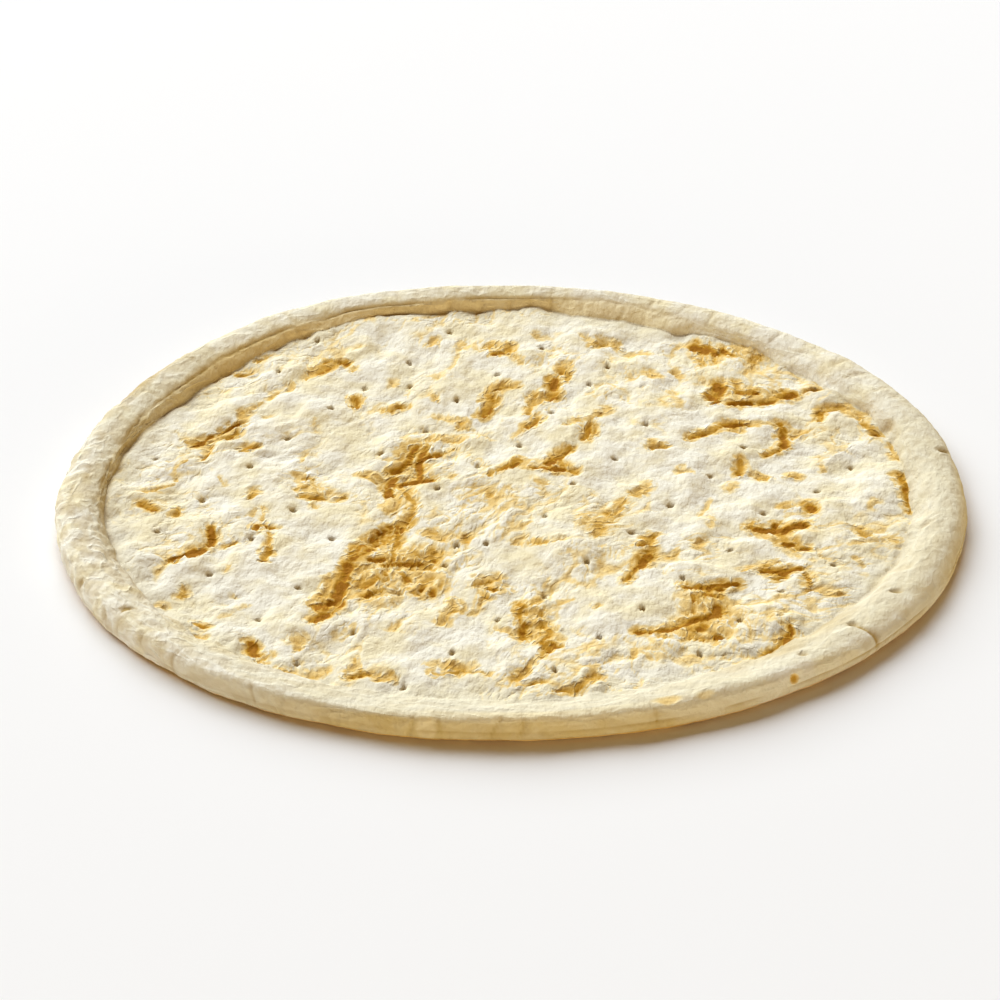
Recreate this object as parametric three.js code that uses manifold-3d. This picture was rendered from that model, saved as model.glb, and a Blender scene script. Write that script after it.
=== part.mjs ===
// A par-baked pizza crust: one round flat bread with a raised rim, a wrinkled field with sunken
// toasted creases, and rows of dock holes pricked through the skin.
// Millimetres, +Z up, the origin in the middle of the flat base.

import * as THREE from "three";
import { ImprovedNoise } from "three/addons/math/ImprovedNoise.js";
import { mergeVertices } from "three/addons/utils/BufferGeometryUtils.js";
import Module from "manifold-3d";

// Overall sizes of a 16 inch crust
const OUTER_RADIUS = 204;
const FIELD_HEIGHT = 6;

// The stretched outline: how many lobes, how far they stand out, and where the first one points in degrees
const OUTLINE_LOBES = [
  [1, 1.95, -80],
  [2, 1.2, -82],
  [3, 2.0, -12],
  [4, 1.25, 30],
  [5, 0.75, -31],
];

// Sections of the rim, from its foot on the field over the crest to the base.
// A point is [inward from the outline, height above the base].
const ROLLED_RIM = [
  [23.5, 6], [21, 8.6], [16.5, 11.4], [10.5, 12.5], [4.8, 11.5], [1.3, 8.7], [0, 5.2], [1.4, 1.4], [7, 0],
];
const FOLDED_RIM = [
  [19.5, 6], [18, 8.4], [15.4, 9.4], [10.4, 12.0], [5, 12.3], [1.3, 10], [0, 5.6], [1.6, 1.5], [7, 0],
];
const PRESSED_RIM = [
  [25, 6], [20, 7.7], [14, 9.5], [7.5, 11.3], [2.8, 12.0], [0.4, 10.9], [0, 5.4], [0.8, 1.6], [9, 0],
];
// The direction in degrees where a section is at its fullest, and how far round it fades away
const ROLLED_SIDE = [0, 80];
const PRESSED_SIDE = [-95, 80];

// Unevenness round the rim: waves round the circle, size, and phase in degrees
const CREST_WAVES = [
  [2, 0.2, 40],
  [7, 0.2, 10],
  [13, 0.15, 75],
  [29, 0.15, 12],
];
const FOOT_WAVES = [
  [5, 1.1, 20],
  [11, 0.8, 50],
  [17, 0.6, 5],
];

// Relief of the field: slow swells, and wrinkles drawn out along the grain of the dough
const SWELL_HEIGHT = 0.45;
const WRINKLE_HEIGHT = 0.9;
const WRINKLE_LENGTH = 30;
const WRINKLE_WIDTH = 12;
const GRAIN_ANGLE = 64;

// Sunken toasted creases, each a stroke [x, y] to [x, y] with its half width and depth
const SUNKEN_CREASES = [
  { from: [-82, -107], to: [-66, -55], half: 6, depth: 2.0 },
  { from: [-66, -55], to: [-45, -22], half: 6, depth: 2.0 },
  { from: [-50, -48], to: [-38, -82], half: 17, depth: 1.2 },
  { from: [-45, -22], to: [-49, 8], half: 6, depth: 1.6 },
  { from: [-49, 8], to: [-32, 52], half: 7, depth: 1.6 },
  { from: [-140, 48], to: [-121, 68], half: 8, depth: 1.6 },
  { from: [-97, 112], to: [-78, 132], half: 7, depth: 1.4 },
  { from: [24, 122], to: [10, 72], half: 6, depth: 1.4 },
  { from: [2, 106], to: [-22, 70], half: 6, depth: 1.4 },
  { from: [93, 95], to: [130, 95], half: 8, depth: 1.6 },
  { from: [92, 144], to: [112, 133], half: 9, depth: 1.5 },
  { from: [-5, 20], to: [27, 27], half: 7, depth: 1.3 },
  { from: [107, -31], to: [130, -18], half: 8, depth: 1.6 },
  { from: [120, -34], to: [122, -54], half: 7, depth: 1.6 },
  { from: [101, -71], to: [126, -71], half: 6, depth: 1.3 },
  { from: [126, -71], to: [136, -92], half: 6, depth: 1.3 },
  { from: [76, -88], to: [90, -128], half: 11, depth: 1.7 },
  { from: [56, -122], to: [88, -124], half: 7, depth: 1.4 },
  { from: [62, -38], to: [53, -72], half: 6, depth: 1.4 },
  { from: [5, -103], to: [18, -137], half: 7, depth: 1.5 },
  { from: [-131, -32], to: [-146, -58], half: 6, depth: 1.5 },
  { from: [116, -115], to: [106, -146], half: 6, depth: 1.3 },
];

// Dock holes: slanting rows of evenly spaced pins, each row from its first pin's place to its last one's
const DOCK_ROWS = [
  { first: [-160, 34], last: [-91, 150], pins: 5 },
  { first: [-155, -35], last: [-28, 162], pins: 8 },
  { first: [-148, -98], last: [16, 144], pins: 10 },
  { first: [-107, -110], last: [38, 106], pins: 9 },
  { first: [-89, -149], last: [63, 63], pins: 9 },
  { first: [-44, -168], last: [143, 97], pins: 11 },
  { first: [19, -158], last: [168, 55], pins: 9 },
  { first: [61, -169], last: [178, -16], pins: 7 },
  { first: [126, -155], last: [164, -99], pins: 3 },
];
const PIN_TOP_RADIUS = 1.5;
const PIN_TIP_RADIUS = 0.5;
const PIN_DEPTH = 3.2;
const PIN_FLOOR = 1.6;
const PIN_HEAD = 4;
const PIN_SIDES = 7;

// Fineness of the surface: rings of the field, each with six more points than the one inside it
const FIELD_RINGS = 28;
const POINTS_PER_RING = 6;
const POINTS_ROUND = FIELD_RINGS * POINTS_PER_RING;

const CRUST_COLOUR = 0xefe3c4;

const wasm = await Module();
wasm.setup();
const noise = new ImprovedNoise();

/** Sum of waves round the circle at an angle in radians. */
function waves(list, angle) {
  return list.reduce((sum, [count, size, phase]) => {
    return sum + size * Math.cos(count * (angle - THREE.MathUtils.degToRad(phase)));
  }, 0);
}

/** 1 where the angle looks along the side's direction, easing to 0 at its reach. */
function facing([direction, reach], angle) {
  const turn = THREE.MathUtils.radToDeg(angle) - direction;
  const away = Math.abs(THREE.MathUtils.euclideanModulo(turn + 180, 360) - 180);
  return THREE.MathUtils.smoothstep(1 - away / reach, 0, 1);
}

/** The rim's section at an angle, as points [distance from the centre, height]. */
function rimSection(angle) {
  const rolled = facing(ROLLED_SIDE, angle);
  const pressed = facing(PRESSED_SIDE, angle);
  const folded = 1 - rolled - pressed;
  const outline = OUTER_RADIUS + waves(OUTLINE_LOBES, angle);
  const crest = 1 + waves(CREST_WAVES, angle) / ROLLED_RIM[3][1];
  return FOLDED_RIM.map((point, i) => {
    const inward = folded * point[0] + rolled * ROLLED_RIM[i][0] + pressed * PRESSED_RIM[i][0];
    const height = folded * point[1] + rolled * ROLLED_RIM[i][1] + pressed * PRESSED_RIM[i][1];
    const footShift = i === 0 ? waves(FOOT_WAVES, angle) : 0;
    return [outline - inward + footShift, height * crest];
  });
}

/** How deep the toasted creases sink at a point: the deepest of the strokes, with sloping sides. */
function creaseDepth(x, y) {
  const place = new THREE.Vector3(x, y, 0);
  const nearest = new THREE.Vector3();
  const depths = SUNKEN_CREASES.map(({ from, to, half, depth }) => {
    const stroke = new THREE.Line3(new THREE.Vector3(...from, 0), new THREE.Vector3(...to, 0));
    const distance = stroke.closestPointToPoint(place, true, nearest).distanceTo(place);
    return depth * THREE.MathUtils.smoothstep(1 - distance / half, 0, 0.6);
  });
  return Math.max(...depths);
}

/** Height of the field: swells, plus wrinkles along the grain, less the sunken creases. */
function fieldHeight(x, y) {
  const grain = THREE.MathUtils.degToRad(GRAIN_ANGLE);
  const along = (x * Math.cos(grain) + y * Math.sin(grain)) / WRINKLE_LENGTH;
  const across = (y * Math.cos(grain) - x * Math.sin(grain)) / WRINKLE_WIDTH;
  const swell = Math.sin(x / 29 + 0.8) * Math.cos(y / 34 - 0.5) + 0.7 * Math.sin((x + y) / 23 + 2.1);
  const wrinkle = noise.noise(along, across, 0.5);
  return FIELD_HEIGHT + SWELL_HEIGHT * swell + WRINKLE_HEIGHT * wrinkle - creaseDepth(x, y);
}

/** All rings of points, from the middle of the field over the rim to the edge of the base. */
function crustRings() {
  const rings = [];
  for (let ring = 0; ring < FIELD_RINGS; ring += 1) {
    const count = Math.max(1, ring * POINTS_PER_RING);
    rings.push(Array.from({ length: count }, (unused, i) => {
      const angle = (2 * Math.PI * i) / count;
      const radius = (rimSection(angle)[0][0] * ring) / FIELD_RINGS;
      const x = radius * Math.cos(angle);
      const y = radius * Math.sin(angle);
      return [x, y, fieldHeight(x, y)];
    }));
  }
  for (let step = 0; step < FOLDED_RIM.length; step += 1) {
    rings.push(Array.from({ length: POINTS_ROUND }, (unused, i) => {
      const angle = (2 * Math.PI * i) / POINTS_ROUND;
      const [radius, height] = rimSection(angle)[step];
      const x = radius * Math.cos(angle);
      const y = radius * Math.sin(angle);
      return [x, y, step === 0 ? fieldHeight(x, y) : height];
    }));
  }
  rings.push([[0, 0, 0]]);
  return rings;
}

/** Triangles between two rings that may differ in count, walking round both by angle. */
function stitch(inner, outer, innerStart, outerStart) {
  const triangles = [];
  let i = 0;
  let o = 0;
  while (i < inner || o < outer) {
    const a = innerStart + (i % inner);
    const b = outerStart + (o % outer);
    const outerNext = (o + 1) / outer <= (i + 1) / inner || i === inner;
    if (outerNext && o < outer) {
      triangles.push(a, b, outerStart + ((o + 1) % outer));
      o += 1;
    } else {
      triangles.push(a, b, innerStart + ((i + 1) % inner));
      i += 1;
    }
  }
  return triangles;
}

/** The closed crust before docking: rings stitched one to the next, with a single point at either end. */
function bareCrust() {
  const rings = crustRings();
  const triangles = [];
  let start = 0;
  for (let k = 0; k + 1 < rings.length; k += 1) {
    const next = start + rings[k].length;
    const found = stitch(rings[k].length, rings[k + 1].length, start, next);
    for (let t = 0; t < found.length; t += 3) {
      const corners = found.slice(t, t + 3);
      if (new Set(corners).size === 3) triangles.push(...corners);
    }
    start = next;
  }
  return solid(new Float32Array(rings.flat(2)), new Uint32Array(triangles));
}

/** A closed solid from its points and triangles. */
function solid(points, triangles) {
  return new wasm.Manifold(new wasm.Mesh({ numProp: 3, vertProperties: points, triVerts: triangles }));
}

/** Where the pins of one row go in. */
function pinPlaces({ first, last, pins }) {
  const start = new THREE.Vector2(...first);
  const end = new THREE.Vector2(...last);
  return Array.from({ length: pins }, (unused, i) => start.clone().lerp(end, i / (pins - 1)));
}

/** Height of the top at a point, on the field or along the rim's section. */
function topHeight(x, y) {
  const radius = Math.hypot(x, y);
  const section = rimSection(Math.atan2(y, x));
  if (radius <= section[0][0]) return fieldHeight(x, y);
  const i = section.findIndex((point) => point[0] >= radius);
  const share = (radius - section[i - 1][0]) / (section[i][0] - section[i - 1][0]);
  return THREE.MathUtils.lerp(section[i - 1][1], section[i][1], share);
}

/** A pin: a tapered round spike standing over its place, with its tip inside the dough. */
function pin(x, y) {
  const length = PIN_HEAD + PIN_DEPTH;
  const taper = (PIN_TOP_RADIUS - PIN_TIP_RADIUS) / PIN_DEPTH;
  const headRadius = PIN_TIP_RADIUS + taper * length;
  const spike = new THREE.CylinderGeometry(headRadius, PIN_TIP_RADIUS, length, PIN_SIDES);
  spike.rotateX(Math.PI / 2);
  const tip = Math.max(PIN_FLOOR, topHeight(x, y) - PIN_DEPTH);
  spike.translate(x, y, tip + length / 2);
  spike.deleteAttribute("normal");
  spike.deleteAttribute("uv");
  const closed = mergeVertices(spike);
  return solid(closed.getAttribute("position").array, new Uint32Array(closed.index.array));
}

/** The docked crust, shifted so that its box is centred on the origin. */
function crustGeometry() {
  let crust = bareCrust();
  for (const { x, y } of DOCK_ROWS.flatMap(pinPlaces)) {
    crust = crust.subtract(pin(x, y));
  }
  const mesh = crust.getMesh();
  const geometry = new THREE.BufferGeometry();
  geometry.setAttribute("position", new THREE.BufferAttribute(mesh.vertProperties, 3));
  geometry.setIndex(new THREE.BufferAttribute(mesh.triVerts, 1));
  geometry.computeBoundingBox();
  const middle = geometry.boundingBox.getCenter(new THREE.Vector3());
  geometry.translate(-middle.x, -middle.y, 0);
  geometry.computeVertexNormals();
  return geometry;
}

const crustMaterial = new THREE.MeshStandardMaterial({
  color: CRUST_COLOUR,
  roughness: 0.9,
  metalness: 0,
});

const crust = new THREE.Mesh(crustGeometry(), crustMaterial);
crust.name = "crust";

const pizzaCrust = new THREE.Group();
pizzaCrust.add(crust);

export default pizzaCrust;
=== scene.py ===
# %% [markdown]
# A par-baked pizza crust
#
# The object is one thin round bread: a white, floury, wrinkled field with golden creases, a raised rim,
# and slanting rows of small dock holes that keep it from puffing up in the oven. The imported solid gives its
# size and main form. It could be sculpted by hand over that solid, but a surface worked out from a few
# numbers can be measured, changed and made again. This lesson makes one such fine mesh of the same form,
# colours it and lights it.

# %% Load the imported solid
import math

import bpy
import numpy as np
from mathutils import Matrix, Vector


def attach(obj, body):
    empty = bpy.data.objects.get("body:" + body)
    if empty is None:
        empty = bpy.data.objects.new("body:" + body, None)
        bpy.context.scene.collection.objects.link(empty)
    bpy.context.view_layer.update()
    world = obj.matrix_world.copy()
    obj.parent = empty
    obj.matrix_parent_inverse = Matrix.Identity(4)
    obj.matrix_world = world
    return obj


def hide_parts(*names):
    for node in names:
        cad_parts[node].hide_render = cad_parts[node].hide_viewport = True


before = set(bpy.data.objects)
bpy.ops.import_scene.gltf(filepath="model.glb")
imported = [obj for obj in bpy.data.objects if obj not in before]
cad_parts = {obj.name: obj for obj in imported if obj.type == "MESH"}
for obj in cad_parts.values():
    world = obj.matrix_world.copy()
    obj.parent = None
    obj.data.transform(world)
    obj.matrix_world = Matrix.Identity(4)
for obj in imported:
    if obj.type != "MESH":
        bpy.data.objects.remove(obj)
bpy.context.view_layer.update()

# %% [markdown]
# The outline
#
# Dough that is stretched by hand is never quite round. A circle with a few slow waves round it gives that
# outline with very few numbers, and they are the same numbers as in the solid. Shapes are worked out in
# millimetres round the middle of the circle, and are shifted and scaled once, when they become a mesh.

# %% Outline of the crust
MM = 0.001
OUTER_RADIUS = 204.0
OUTLINE_LOBES = ((1, 1.95, -80), (2, 1.2, -82), (3, 2.0, -12), (4, 1.25, 30), (5, 0.75, -31))


def waves(terms, angle):
    """Sum of size times the cosine of count times the turn from the phase, for terms (count, size, phase)."""
    return sum(size * np.cos(count * (angle - np.radians(phase))) for count, size, phase in terms)


def outline_radius(angle):
    """The circle's radius plus its lobes."""
    return OUTER_RADIUS + waves(OUTLINE_LOBES, angle)


round_trip = np.linspace(0, 2 * np.pi, 3600, endpoint=False)
outline_x = outline_radius(round_trip) * np.cos(round_trip)
outline_y = outline_radius(round_trip) * np.sin(round_trip)
circle_middle = -np.array([outline_x.max() + outline_x.min(), outline_y.max() + outline_y.min(), 0]) / 2
print("middle of the circle in the frame, mm:", circle_middle.round(2))

# %% [markdown]
# The camera
#
# The photograph was taken from a little under thirty degrees above the table with a long lens, so the far
# and near edges have almost the same scale. A camera is set by where it stands, how long its lens is and a
# small shift of the frame. Standing it on a sphere round the crust keeps those three apart.

# %% Camera at the photograph's view
CAMERA_RISE = math.radians(28.7)
CAMERA_ROLL = math.radians(-0.25)
CAMERA_DISTANCE = 2030.0
SENSOR_WIDTH = 36.0
IMAGE_SIDE = 1000
PIXELS_PER_MM = 2.2308
CRUST_MIDDLE_PIXEL = (508.9, 504.0)

camera_data = bpy.data.cameras.new("photo_camera")
camera_data.sensor_width = SENSOR_WIDTH
camera_data.lens = SENSOR_WIDTH * PIXELS_PER_MM * CAMERA_DISTANCE / IMAGE_SIDE
camera_data.shift_x = 0.5 - CRUST_MIDDLE_PIXEL[0] / IMAGE_SIDE
camera_data.shift_y = CRUST_MIDDLE_PIXEL[1] / IMAGE_SIDE - 0.5
camera = bpy.data.objects.new("photo_camera", camera_data)
bpy.context.scene.collection.objects.link(camera)
camera_back = np.array([0, -math.cos(CAMERA_RISE), math.sin(CAMERA_RISE)])
camera.location = (circle_middle + CAMERA_DISTANCE * camera_back) * MM
look_down = Matrix.Rotation(math.pi / 2 - CAMERA_RISE, 3, "X")
camera.rotation_euler = (look_down @ Matrix.Rotation(CAMERA_ROLL, 3, "Z")).to_euler()
bpy.context.scene.camera = camera
print("camera at", [round(c, 3) for c in camera.location], "m, lens", round(camera_data.lens, 1), "mm")

# %% [markdown]
# The rim's section
#
# The rim isn't the same all round. On the right it is a round roll, at the back and the left it is folded
# over with a steep inner wall, and at the front it was pressed flat against the pan. Each is drawn as a few
# points from the foot on the field, over the crest and down to the base. Round the crust the three sections
# are mixed. The foot and the fold wander in the photograph, so how far in they lie is listed by direction. A
# smooth spline through the mixed points gives as many rings as the mesh needs.

# %% Three sections of the rim
# Each point is how far in from the outline it lies, and how high.
ROLLED_RIM = np.array(
    [(23.5, 6), (21, 8.6), (16.5, 11.4), (10.5, 12.5), (4.8, 11.5), (1.3, 8.7), (0, 5.2), (1.4, 1.4), (7, 0)]
)
FOLDED_RIM = np.array(
    [(22, 6), (20, 8.5), (18, 10.4), (11.8, 12.1), (5.4, 12.3), (1.3, 10), (0, 5.6), (1.6, 1.5), (7, 0)]
)
PRESSED_RIM = np.array(
    [(25, 6), (20, 7.7), (14, 9.5), (7.5, 11.3), (2.8, 12.0), (0.5, 10.7), (0, 5.4), (0.8, 1.6), (9, 0)]
)
drawn_heights = [section[:, 1].max() for section in (ROLLED_RIM, FOLDED_RIM, PRESSED_RIM)]
print("drawn height of the rolled, folded and pressed rim:", *drawn_heights, "mm")

# %% Foot and fold by direction
FOOT_LINE = [
    # degrees, how far in from the outline
    (-95, 25.5), (-60, 28), (-37, 28.5), (-30, 27.5), (-18, 25.8), (-5, 24.4), (3, 25), (12, 22.5),
    (16, 23.5), (24, 21), (33, 26), (39, 24), (45, 23.5), (50, 19), (56, 19), (61, 21.5), (64, 24.5),
    (69, 21), (77, 21.5), (80, 21.8), (83, 17), (86, 15.8), (91, 18), (98, 19.3), (105, 20), (112, 19.8),
    (116, 21.7), (119, 24), (124, 22), (131, 25), (140, 24.2), (150, 23.2), (158, 22), (168, 21),
    (177, 21.5), (182, 20.6), (188, 22), (197, 24), (210, 25), (230, 25.5),
]
FOLD_LINE = [
    (50, 17), (62, 15.5), (70, 12), (76, 11.5), (82, 12.4), (88, 14), (94, 14.4), (100, 15.8), (106, 17),
    (114, 15.4), (118, 17.4), (122, 17.9), (129, 17), (137, 17.3), (147, 18.6), (158, 17.6), (168, 18.6),
    (190, 18),
]


def line_round(rows, angle):
    """A value listed round the crust as (degrees, value), straight between the rows."""
    degrees, values = np.array(rows).T
    return np.interp(np.degrees(angle), degrees, values, period=360)


widths = line_round(FOOT_LINE, np.radians([0, 90, 180, -90]))
print("rim width at right, back, left and front:", widths.round(1), "mm")

# %% Sections mixed by direction
ROLLED_SIDE = (0, 80)
PRESSED_SIDE = (-95, 80)
CREST_WAVES = ((2, 0.2, 40), (7, 0.2, 10), (13, 0.15, 75), (29, 0.15, 12))
FOOT_WAVES = ((31, 0.45, 3), (47, 0.3, 1))
WALL_SHARE = 0.55


def ease(x):
    """0 below 0, 1 above 1, and 3 x squared less 2 x cubed between."""
    x = np.clip(x, 0, 1)
    return x * x * (3 - 2 * x)


def facing(side, angle):
    """1 where the angle looks along the side's direction, easing to 0 at its reach in degrees."""
    away = np.abs((np.degrees(angle) - side[0] + 180) % 360 - 180)
    return ease(1 - away / side[1])


def rim_points(angle):
    """Section points (radius, height) at each angle: the three drawn sections, weighted by direction.

    The fold and the foot then follow their own lines, and the second point stays between the two.
    """
    rolled = facing(ROLLED_SIDE, angle)[:, None, None]
    pressed = facing(PRESSED_SIDE, angle)[:, None, None]
    folded = np.repeat(FOLDED_RIM[None], len(angle), axis=0)
    reach = line_round(FOLD_LINE, angle) / FOLDED_RIM[2, 0]
    folded[:, 2:5, 0] *= reach[:, None]
    folded[:, 2, 1] = FOLDED_RIM[3, 1] - (FOLDED_RIM[3, 1] - FOLDED_RIM[2, 1]) * reach
    drawn = rolled * ROLLED_RIM + pressed * PRESSED_RIM + (1 - rolled - pressed) * folded
    drawn[:, 0, 0] = line_round(FOOT_LINE, angle) - waves(FOOT_WAVES, angle)
    drawn[:, 1, 0] = drawn[:, 2, 0] + WALL_SHARE * (drawn[:, 0, 0] - drawn[:, 2, 0])
    radius = outline_radius(angle)[:, None] - drawn[..., 0]
    height = drawn[..., 1] * (1 + waves(CREST_WAVES, angle) / ROLLED_RIM[3, 1])[:, None]
    return np.stack([radius, height], axis=-1)


print("highest drawn point round the rim:", rim_points(round_trip)[..., 1].max().round(2), "mm")

# %% Smooth section through the drawn points
def spline_weights(places, count):
    """Catmull-Rom weights: at each place, a number from 0 to count - 1, how much each drawn point counts."""
    start = np.clip(np.floor(places).astype(int), 0, count - 2)
    t = places - start
    shares = (
        (-t + 2 * t**2 - t**3) / 2,
        (2 - 5 * t**2 + 3 * t**3) / 2,
        (t + 4 * t**2 - 3 * t**3) / 2,
        (-(t**2) + t**3) / 2,
    )
    pick = np.eye(count)
    return sum(w[..., None] * pick[np.clip(start + i - 1, 0, count - 1)] for i, w in enumerate(shares))


print("halfway between two points the four nearest count", spline_weights(np.array([1.5]), 4).round(3)[0])

# %% [markdown]
# Seeded noise
#
# Wrinkles and blisters are irregular but not shapeless. Gradient noise gives smooth random hills: every
# whole-numbered corner of a grid holds a random slope, and the slopes are blended between corners. Its
# size, stretch and direction are set by scaling the points first, so one function serves every wrinkle.

# %% Gradient noise on whole arrays
NOISE_GAIN = 1.7


def gradient_noise(points, seed):
    """Blend of the eight corners' slopes times the offsets from them, by 6t^5 - 15t^4 + 10t^3."""
    draw = np.random.default_rng(seed)
    order = draw.permutation(256)
    slopes = draw.normal(size=(256, 3))
    slopes /= np.linalg.norm(slopes, axis=1)[:, None]
    corner = np.floor(points).astype(int)
    offset = points - corner
    blend = offset**3 * (offset * (offset * 6 - 15) + 10)
    total = np.zeros(len(points))
    for step in np.ndindex(2, 2, 2):
        place = (corner + step) & 255
        pick = order[(order[(order[place[:, 0]] + place[:, 1]) & 255] + place[:, 2]) & 255]
        weight = np.prod(np.where(step, blend, 1 - blend), axis=1)
        total += weight * np.sum(slopes[pick] * (offset - step), axis=1)
    return NOISE_GAIN * total


def hills(x, y, size, seed):
    """Flat noise with hills about size millimetres apart."""
    return gradient_noise(np.stack([x / size, y / size, np.full_like(x, 0.5)], axis=1), seed)


sample = hills(np.linspace(0, 200, 2000), np.zeros(2000), 10.0, 1)
print("noise runs from", sample.min().round(2), "to", sample.max().round(2))

# %% [markdown]
# The grain of the dough
#
# Rolling and stretching gave the dough a grain: its wrinkles follow long curves that are steep in the middle
# of the crust and lie flatter on the right. The curves are one line, shifted up and down. A point's place
# along the grain and across it, by how far it lies above that line, are the two numbers that stretched
# wrinkles are worked out from.

# %% Grain lines
GRAIN_WIDTH = 0.6
GRAIN_RISE = 0.7
SLOPE_RIGHT, SLOPE_LEFT_MORE, SLOPE_MIDDLE_MORE = 0.55, 0.65, 0.9
RUN_RIGHT, RUN_LEFT_LESS, RUN_MIDDLE_LESS = 0.95, 0.25, 0.4
grain_line_x = np.linspace(-220, 220, 441)
middle_share = np.exp(-(((grain_line_x + 5) / 45) ** 2))
left_share = ease((70 - grain_line_x) / 110)
grain_slope = SLOPE_RIGHT + SLOPE_LEFT_MORE * left_share + SLOPE_MIDDLE_MORE * middle_share
grain_line_y = np.cumsum(grain_slope)
grain_run = np.cumsum(RUN_RIGHT - RUN_LEFT_LESS * left_share - RUN_MIDDLE_LESS * middle_share)


def grain_place(x, y):
    """Along, the run of the grain up to x plus a share of y. Across, a share of the height above the line."""
    along = np.interp(x, grain_line_x, grain_run) + GRAIN_RISE * y
    across = GRAIN_WIDTH * (y - np.interp(x, grain_line_x, grain_line_y))
    return along, across


def grain_noise(x, y, length, width, seed):
    """Noise drawn out to length along the grain and narrowed to width across it."""
    along, across = grain_place(x, y)
    return gradient_noise(np.stack([along / length, across / width, np.full_like(x, 0.5)], axis=1), seed)


steepest = grain_line_x[grain_slope.argmax()]
steepness = np.degrees(np.arctan(grain_slope.max())).round(0)
print("the grain is steepest at x", steepest, "mm, at", steepness, "degrees")

# %% [markdown]
# Toasted creases
#
# Where the skin sank while baking it was left without flour, and browned. On the crust these are sunken,
# torn-looking patches with darker creases in them. Noise alone would put them in the wrong places, so each
# is drawn as a tapered stroke: a point with a half width, a second point with its own, and how dark the
# stroke is. Wide pale strokes are the tan ground of a patch, and narrow dark ones the creases in it. They
# are listed from the left of the crust to the right.

# %% Creases on the left
LEFT_CREASES = [
    # x, y, half width, to x, y, half width, toast
    (-143, 48, 2.6, -137, 56, 2.4, 1.0), (-134, 57, 1.5, -124, 66, 1.6, 0.9),
    (-131, 53, 2, -125, 59, 1.5, 0.75), (-136, 47, 1.2, -138, 34, 1.1, 0.8),
    (-139, 52, 4.5, -128, 58, 4.5, 0.42), (-137, 46, 3, -138, 38, 2, 0.35),
    (-122, 69, 2.5, -121, 78, 3, 0.5), (-119, 80, 1.3, -116, 88, 1.2, 0.35),
    (-120, 45, 2.4, -117, 46, 2.6, 0.75), (-122, 41, 1.6, -121, 40, 1.5, 0.6),
    (-147, 50, 1.2, -149, 52, 1, 0.6), (-145, 32, 0.9, -150, 27, 1, 0.35),
    (-150, 27, 1, -150, 14, 1.2, 0.4), (-151, 10, 1, -156, 6, 1.2, 0.35), (-157, 5, 1.2, -163, 1, 1.6, 0.5),
    (-130, 16, 1, -128, 9, 1, 0.35), (-71, 94, 2.6, -71, 87, 3, 0.75), (-89, 70, 1.2, -88, 61, 1.2, 0.35),
    (-92, 41, 1.2, -94, 32, 1.2, 0.35), (-92, 16, 1.6, -87, 15, 1.3, 0.65),
    (-88, 14, 1.2, -86, 2, 1.2, 0.6), (-95, 5, 1.4, -90, 8, 1.2, 0.55), (-95, 19, 4, -84, 0, 6, 0.3),
    (-92, 0, 1.6, -84, -2, 2.5, 0.7), (-78, -5, 1.4, -74, -2, 1.3, 0.6), (-88, -6, 1, -86, -12, 1, 0.45),
    (-113, 74, 1.4, -110, 75, 1.2, 0.35), (-115, 5, 2, -116, -3, 1.6, 0.6),
    (-84, 128, 5, -92, 119, 4, 0.62), (-92, 119, 3.5, -95, 112, 2, 0.55), (-87, 131, 3, -78, 129, 3, 0.7),
    (-73, 124, 2, -72, 121, 1.6, 0.45), (-102, 106, 1.4, -103, 99, 1.6, 0.45),
    (-108, 98, 1.6, -112, 92, 1.5, 0.5), (-119, 131, 1.6, -114, 136, 1.6, 0.6),
    (-127, 119, 2.2, -122, 120, 2, 0.65), (-70, 145, 1.6, -72, 142, 1.4, 0.3),
    (-64, 20, 3.6, -58, 15, 3.2, 0.48), (-163, -9, 2.6, -157, -13, 2.6, 0.75),
    (-147, -12, 1.4, -148, -18, 1.7, 0.75), (-131, -31, 2.2, -132, -46, 2, 1.0),
    (-134, -50, 2.4, -139, -56, 2.3, 0.95), (-138, -52, 2.6, -147, -57, 2, 0.95),
    (-146, -58, 1.2, -152, -69, 0.9, 0.5), (-143, -58, 1, -145, -63, 1, 0.55),
    (-126, -47, 1.4, -121, -44, 1.4, 0.6), (-110, -12, 1, -109, -22, 1.2, 0.5),
    (-113, -13, 1, -115, -20, 1.2, 0.35), (-111, -27, 1.2, -113, -32, 1.5, 0.85),
    (-108, -27, 1.4, -104, -31, 1.7, 0.8), (-106, -35, 1.2, -105, -47, 1.4, 0.6),
    (-105, -47, 1.4, -107, -60, 2.2, 0.8), (-141, -82, 1.4, -141, -89, 2, 0.6),
    (-122, -65, 1, -123, -70, 1, 0.4), (-119, -88, 1.2, -118, -90, 1.2, 0.35),
    (-113, -97, 2, -124, -109, 2.4, 0.2), (-133, -114, 2, -130, -117, 2, 0.7),
    (-133, -124, 2.2, -130, -127, 2, 0.55), (-140, -119, 1.3, -136, -122, 1.3, 0.35),
    (-108, -132, 3, -107, -139, 3, 0.95), (-106, -146, 1.7, -101, -141, 1.2, 0.7),
    (-104, -148, 2, -101, -149, 1.6, 0.45), (-90, -129, 3, -89, -136, 2.6, 0.52),
    (-95, -154, 1.7, -91, -156, 1.7, 0.6), (-83, -156, 3, -78, -153, 2.6, 0.48),
    (-69, -155, 1.6, -65, -153, 1.6, 0.6), (-66, -160, 2.1, -60, -158, 2.3, 0.8),
    (-56, -161, 2.6, -50, -161, 2.6, 0.52), (-66, -143, 0.9, -66, -155, 0.9, 0.5),
    (-149, -96, 1.6, -148, -99, 1.4, 0.5), (-148, -110, 1.2, -147, -111, 1.2, 0.5),
    (-86, -102, 1.2, -84, -97, 1.2, 0.5),
]
print(len(LEFT_CREASES), "strokes on the left")

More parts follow.
